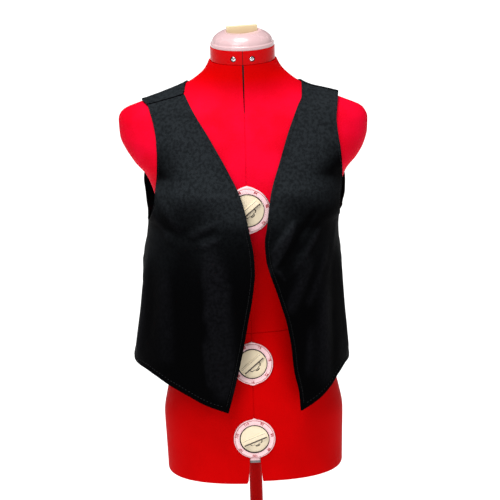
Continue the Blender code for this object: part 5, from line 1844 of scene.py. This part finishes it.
@dataclass
class NeckPieces:
    """The glossy band round the neck with its screws, and the cap with its grip bar."""

    finishes: Finishes
    band_radius: float = 0.0540
    band_inner: float = 0.0480
    band_top: float = 1.3355
    screw_turn: float = 17.0
    screw_slot: float = 24.0
    screw_height: float = 1.3222
    screw_radius: float = 0.0043
    screw_hole: float = 0.0047
    screw_sunk: float = 0.0035
    cap_radius: float = 0.0530
    cap_lip: float = 0.0060
    dome_radius: float = 0.0508
    dome_rise: float = 0.0245
    grip_half: float = 0.0260
    grip_depth: float = 0.0070
    grip_turn: float = 12.0
    grip_top: float = 1.3688
    grip_seat: float = 1.3545

    def band(self) -> Piece:
        """The band, with holes for its screws and the seam at its front, whose cut faces take the near-black
        painted shade.
        """
        base, top, dark = NECK_TOP + FACE_GAP, self.band_top, self.finishes.painted_shade
        made = turned_piece(
            "neck_band_gloss",
            soften([(self.band_inner, top), (self.band_radius, top), (self.band_radius, base),
                    (self.band_inner, base)], 0.0010, 4),
            self.finishes.red_plastic, 144, closed=True,
        )
        seam = box_piece("band_seam", (-0.0005, -0.070, base - 0.002), (0.0005, -0.0525, top + 0.002), dark)
        holes = []
        for side in (-1, 1):
            hole = cylinder("hole", self.screw_hole, 0.004, -self.screw_sunk, dark, 48)
            hole.matrix_world = self.screw_frame(side)
            holes.append(hole)
        return carve(made, [seam, *holes], sharp=35.0)

    def screw_frame(self, side: int) -> Matrix:
        """Where a screw sits, with Z out of the band."""
        turn = math.radians(self.screw_turn * side)
        out = Vector((math.sin(turn), -math.cos(turn), 0))
        return facing_frame(out, out * self.band_radius + Vector((0, 0, self.screw_height)))

    def screw(self, side: int, name: str) -> Piece:
        """A domed screw with a cross slot, sunk in the band; the slot's faces take the near-black painted
        shade.
        """
        rim, back = self.screw_radius, FACE_GAP - self.screw_sunk
        made = turned_piece(
            name,
            soften([(0, -0.0002), (0.0024, -0.0004), (rim, -0.0014), (rim, back), (0, back)], 0.0006),
            self.finishes.chrome, 64,
        )
        dark = self.finishes.painted_shade
        carve(made, [box_piece("arm", (-x, -y, -0.0014), (x, y, 0.002), dark)
                     for x, y in ((0.0026, 0.00045), (0.00045, 0.0026))])
        made.matrix_world = self.screw_frame(side) @ spin(self.screw_slot * side)
        return made

    def cap(self) -> Piece:
        """The domed cap with its lip, the grip's slot and the finger hollows."""
        base = self.band_top + FACE_GAP
        dome_base = base + self.cap_lip
        profile = [
            (self.dome_radius * math.sin(a), dome_base + self.dome_rise * math.cos(a))
            for a in np.radians(np.linspace(0, 84.8, 30))
        ]
        profile[0] = (0.0, dome_base + self.dome_rise)
        rim = soften([profile[-1], (self.dome_radius + 0.0002, dome_base + 0.0006),
                      (self.cap_radius, dome_base - 0.0004), (self.cap_radius, base), (0.0, base)], 0.0009)
        pink = self.finishes.cap_plastic
        made = turned_piece("neck_cap_dome", profile[:-1] + rim, pink, 144)
        grip_frame = spin(self.grip_turn)
        half, deep = self.grip_half + FACE_GAP, self.grip_depth / 2 + FACE_GAP
        cutters = [box_piece("grip_slot", (-half, -deep, self.grip_seat - FACE_GAP), (half, deep, 1.40), pink)]
        cutters[0].matrix_world = grip_frame
        for hollow in FINGER_HOLLOWS:
            arc = [(math.sin(a), math.cos(a)) for a in np.linspace(0, math.pi, 33)]
            arc[0], arc[-1] = (0.0, 1.0), (0.0, -1.0)
            ball = turned_piece("hollow", arc, pink, 72)
            size = Matrix.Diagonal((hollow.length, hollow.depth, hollow.rise, 1))
            ball.matrix_world = grip_frame @ Matrix.Translation((0, hollow.off, hollow.height)) @ size
            cutters.append(ball)
        return carve(made, cutters, sharp=30.0)

    def grip(self) -> Piece:
        """The grip bar across the cap."""
        made = bevel(box_piece(
            "neck_grip_bar", (-self.grip_half, -self.grip_depth / 2, self.grip_seat),
            (self.grip_half, self.grip_depth / 2, self.grip_top), self.finishes.bar_plastic,
        ), 0.0009, 4)
        made.matrix_world = spin(self.grip_turn)
        return made

    def build(self) -> None:
        """All the neck's pieces."""
        for piece, node, slot in (
            (self.band(), "neck_band", "red_plastic"),
            (self.screw(-1, "screw_right"), "neck_screw_right", "chrome"),
            (self.screw(1, "screw_left"), "neck_screw_left", "chrome"),
            (self.cap(), "neck_cap", "pink_plastic"),
            (self.grip(), "neck_grip", "cream_plastic"),
        ):
            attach(piece, "figure")
            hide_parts(node)
        log.info("neck built")


@dataclass
class Stand:
    """The round foot, the tube in it, the pole, and the clamp with its knob."""

    finishes: Finishes
    pole_radius: float = 0.0112
    pole_bore: float = 0.0116
    pole_top: float = 0.720
    sleeve_radius: float = 0.0158
    sleeve_top: float = 0.430
    foot_radius: float = 0.200
    foot_floor: float = 0.014
    hub_top: float = 0.055
    collar_radius: float = 0.0245
    collar_bottom: float = 0.396
    collar_top: float = 0.442
    knob_radius: float = 0.016
    knob_length: float = 0.040
    knob_flutes: int = 12
    knob_flute: float = 0.035

    def flutes(self, radius: float, turn: Array) -> Array:
        """What the knob's radius is multiplied by round it, for its flutes."""
        return 1 + self.knob_flute * np.cos(turn * self.knob_flutes)

    def build(self) -> None:
        """All the stand's pieces, and the guide tab in the form's slot."""
        paint, gap = self.finishes.dark_paint, FACE_GAP
        around = self.sleeve_radius + gap
        foot = turned_piece(
            "foot_plate",
            soften([(0, self.foot_floor), (around, self.foot_floor), (around, self.hub_top),
                    (0.0285, self.hub_top), (0.0300, self.hub_top - 0.0015), (0.0310, 0.024),
                    (0.0400, 0.0165), (0.1850, 0.0115), (0.1960, 0.0090),
                    (self.foot_radius, 0.0050), (self.foot_radius, 0), (0, 0)], 0.0022, 4),
            paint, 160,
        )
        sleeve = turned_piece(
            "sleeve_tube",
            soften([(self.pole_bore, self.sleeve_top), (self.sleeve_radius, self.sleeve_top),
                    (self.sleeve_radius, self.foot_floor + gap), (self.pole_bore, self.foot_floor + gap)],
                   0.0006),
            paint, 72, closed=True,
        )
        pole = turned_piece(
            "pole_tube",
            soften([(0, self.pole_top), (self.pole_radius, self.pole_top),
                    (self.pole_radius, self.foot_floor + gap), (0, self.foot_floor + gap)], 0.0010),
            self.finishes.red_pole_paint, 72,
        )
        collar = turned_piece(
            "collar",
            soften([(self.pole_bore, self.collar_top), (self.collar_radius - 0.002, self.collar_top),
                    (self.collar_radius, self.collar_top - 0.002), (self.collar_radius, self.collar_bottom),
                    (around, self.collar_bottom), (around, self.sleeve_top + gap),
                    (self.pole_bore, self.sleeve_top + gap)], 0.0010),
            paint, 96, closed=True,
        )
        knob = turned_piece(
            "knob",
            soften([(0, self.knob_length), (self.knob_radius - 0.002, self.knob_length),
                    (self.knob_radius, self.knob_length - 0.002), (self.knob_radius, 0.0260),
                    (self.knob_radius - 0.002, 0.0240), (0.0060, 0.0230), (0.0055, gap), (0, gap)], 0.0012),
            paint, 120, swell=self.flutes,
        )
        knob.matrix_world = facing_frame(
            Vector((0, 1, 0)), Vector((0, self.collar_radius, (self.collar_bottom + self.sleeve_top) / 2))
        )
        guide = bevel(prism_piece(
            "guide_tab", [(-0.00866, 0.6456), (-0.00886, 0.6413), (0.00886, 0.6413), (0.00866, 0.6456)],
            -0.1088, -0.1000, self.finishes.pink_plastic,
        ), 0.0004)
        tongue = bevel(prism_piece(
            "guide_tongue", [(-0.00887, 0.6411), (-0.00905, 0.6370), (0.00905, 0.6370), (0.00887, 0.6411)],
            -0.1082, -0.1000, self.finishes.grey_plastic,
        ), 0.0004)
        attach(tongue, "figure")
        for piece, node, body, slot in (
            (foot, "foot", "stand", "dark_metal"), (sleeve, "sleeve", "stand", "dark_metal"),
            (collar, "clamp_collar", "stand", "dark_metal"), (knob, "clamp_knob", "knob", "dark_metal"),
            (pole, "pole", "mast", "red_paint"), (guide, "slot_guide", "figure", "pink_plastic"),
        ):
            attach(piece, body)
            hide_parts(node)
        log.info("stand built")


@dataclass
class Studio:
    """Pale floor, soft lights and the camera at the photograph's view."""

    eye: tuple[float, float, float] = (0.0022, -4.2, 2.162)
    pitch: float = 15.7
    roll: float = 1.80
    lens: float = 184.75

    def camera(self) -> None:
        """The camera, which looks a little down and is rolled by a degree or so."""
        data = bpy.data.cameras.new("camera")
        data.lens, data.sensor_width, data.clip_end = self.lens, 36.0, 60.0
        made = add_object("camera", data)
        made.location = self.eye
        made.rotation_euler = (spin(90 - self.pitch, "X") @ spin(-self.roll)).to_euler()
        bpy.context.scene.camera = made

    @staticmethod
    def lamp(name: str, place: tuple, aim: tuple, size: float, power: float) -> None:
        """A square soft light, aimed at a point."""
        data = bpy.data.lights.new(name, "AREA")
        data.size, data.energy = size, power
        made = add_object(name, data)
        made.location = place
        made.rotation_euler = (Vector(aim) - Vector(place)).to_track_quat("-Z", "Y").to_euler()

    @staticmethod
    def sun(name: str, towards: tuple, angle: float, strength: float) -> None:
        """A wide soft sun, from a direction."""
        data = bpy.data.lights.new(name, "SUN")
        data.angle, data.energy = math.radians(angle), strength
        made = add_object(name, data)
        made.rotation_euler = Vector(towards).to_track_quat("Z", "Y").to_euler()

    def build(self) -> None:
        """The floor, the lights and the camera."""
        floor = mesh_piece(
            "floor", np.array([(-40, -40, 0), (40, -40, 0), (40, 40, 0), (-40, 40, 0)], float), [[0, 1, 2, 3]],
            FloorFinish().build(),
        )
        world = bpy.data.worlds.new("soft_room")
        world.use_nodes = True
        world.node_tree.nodes["Background"].inputs["Color"].default_value = (1.0, 1.0, 1.0, 1.0)
        world.node_tree.nodes["Background"].inputs["Strength"].default_value = 0.10
        bpy.context.scene.world = world
        bpy.context.scene.view_settings.view_transform = "Standard"
        self.sun("sky", (-0.06, -0.18, 1.0), 30.0, 4.3)
        self.lamp("key", (-0.7, -1.6, 2.6), (0, 0, 1.15), 1.1, 24.0)
        self.lamp("fill", (1.8, -2.6, 1.9), (0, 0, 1.0), 1.6, 3.0)
        self.camera()


def main() -> None:
    """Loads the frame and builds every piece."""
    logging.basicConfig(level=logging.INFO, format="%(message)s")
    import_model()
    finishes = Finishes.build()
    form = FormShape()
    dials = [
        WidthDial("bust", 1.0806, 0.0386, 0.0272, 40.5, 0.0024, 25.0, True,
                  ("84", "88", "92", "96", "100", "104", "108"), form, finishes),
        WidthDial("waist", 0.8129, 0.0350, 0.0242, 40.5, 0.0020, 14.0, True,
                  ("64", "68", "72", "76", "80", "84", "88"), form, finishes),
        WidthDial("hip", 0.6815, 0.0352, 0.0242, 22.0, 0.0018, 8.0, False,
                  ("90", "94", "98", "102", "106", "110", "114"), form, finishes),
    ]
    Torso(form, finishes).build([dial.pocket() for dial in dials])
    for dial in dials:
        dial.build()
    NeckPieces(finishes).build()
    Stand(finishes).build()
    vest = Vest(ClothShape(form), finishes)
    vest.build_front(-1)
    vest.build_front(1)
    vest.build_back()
    Studio().build()
    bpy.context.view_layer.update()


if __name__ == "__main__":
    main()
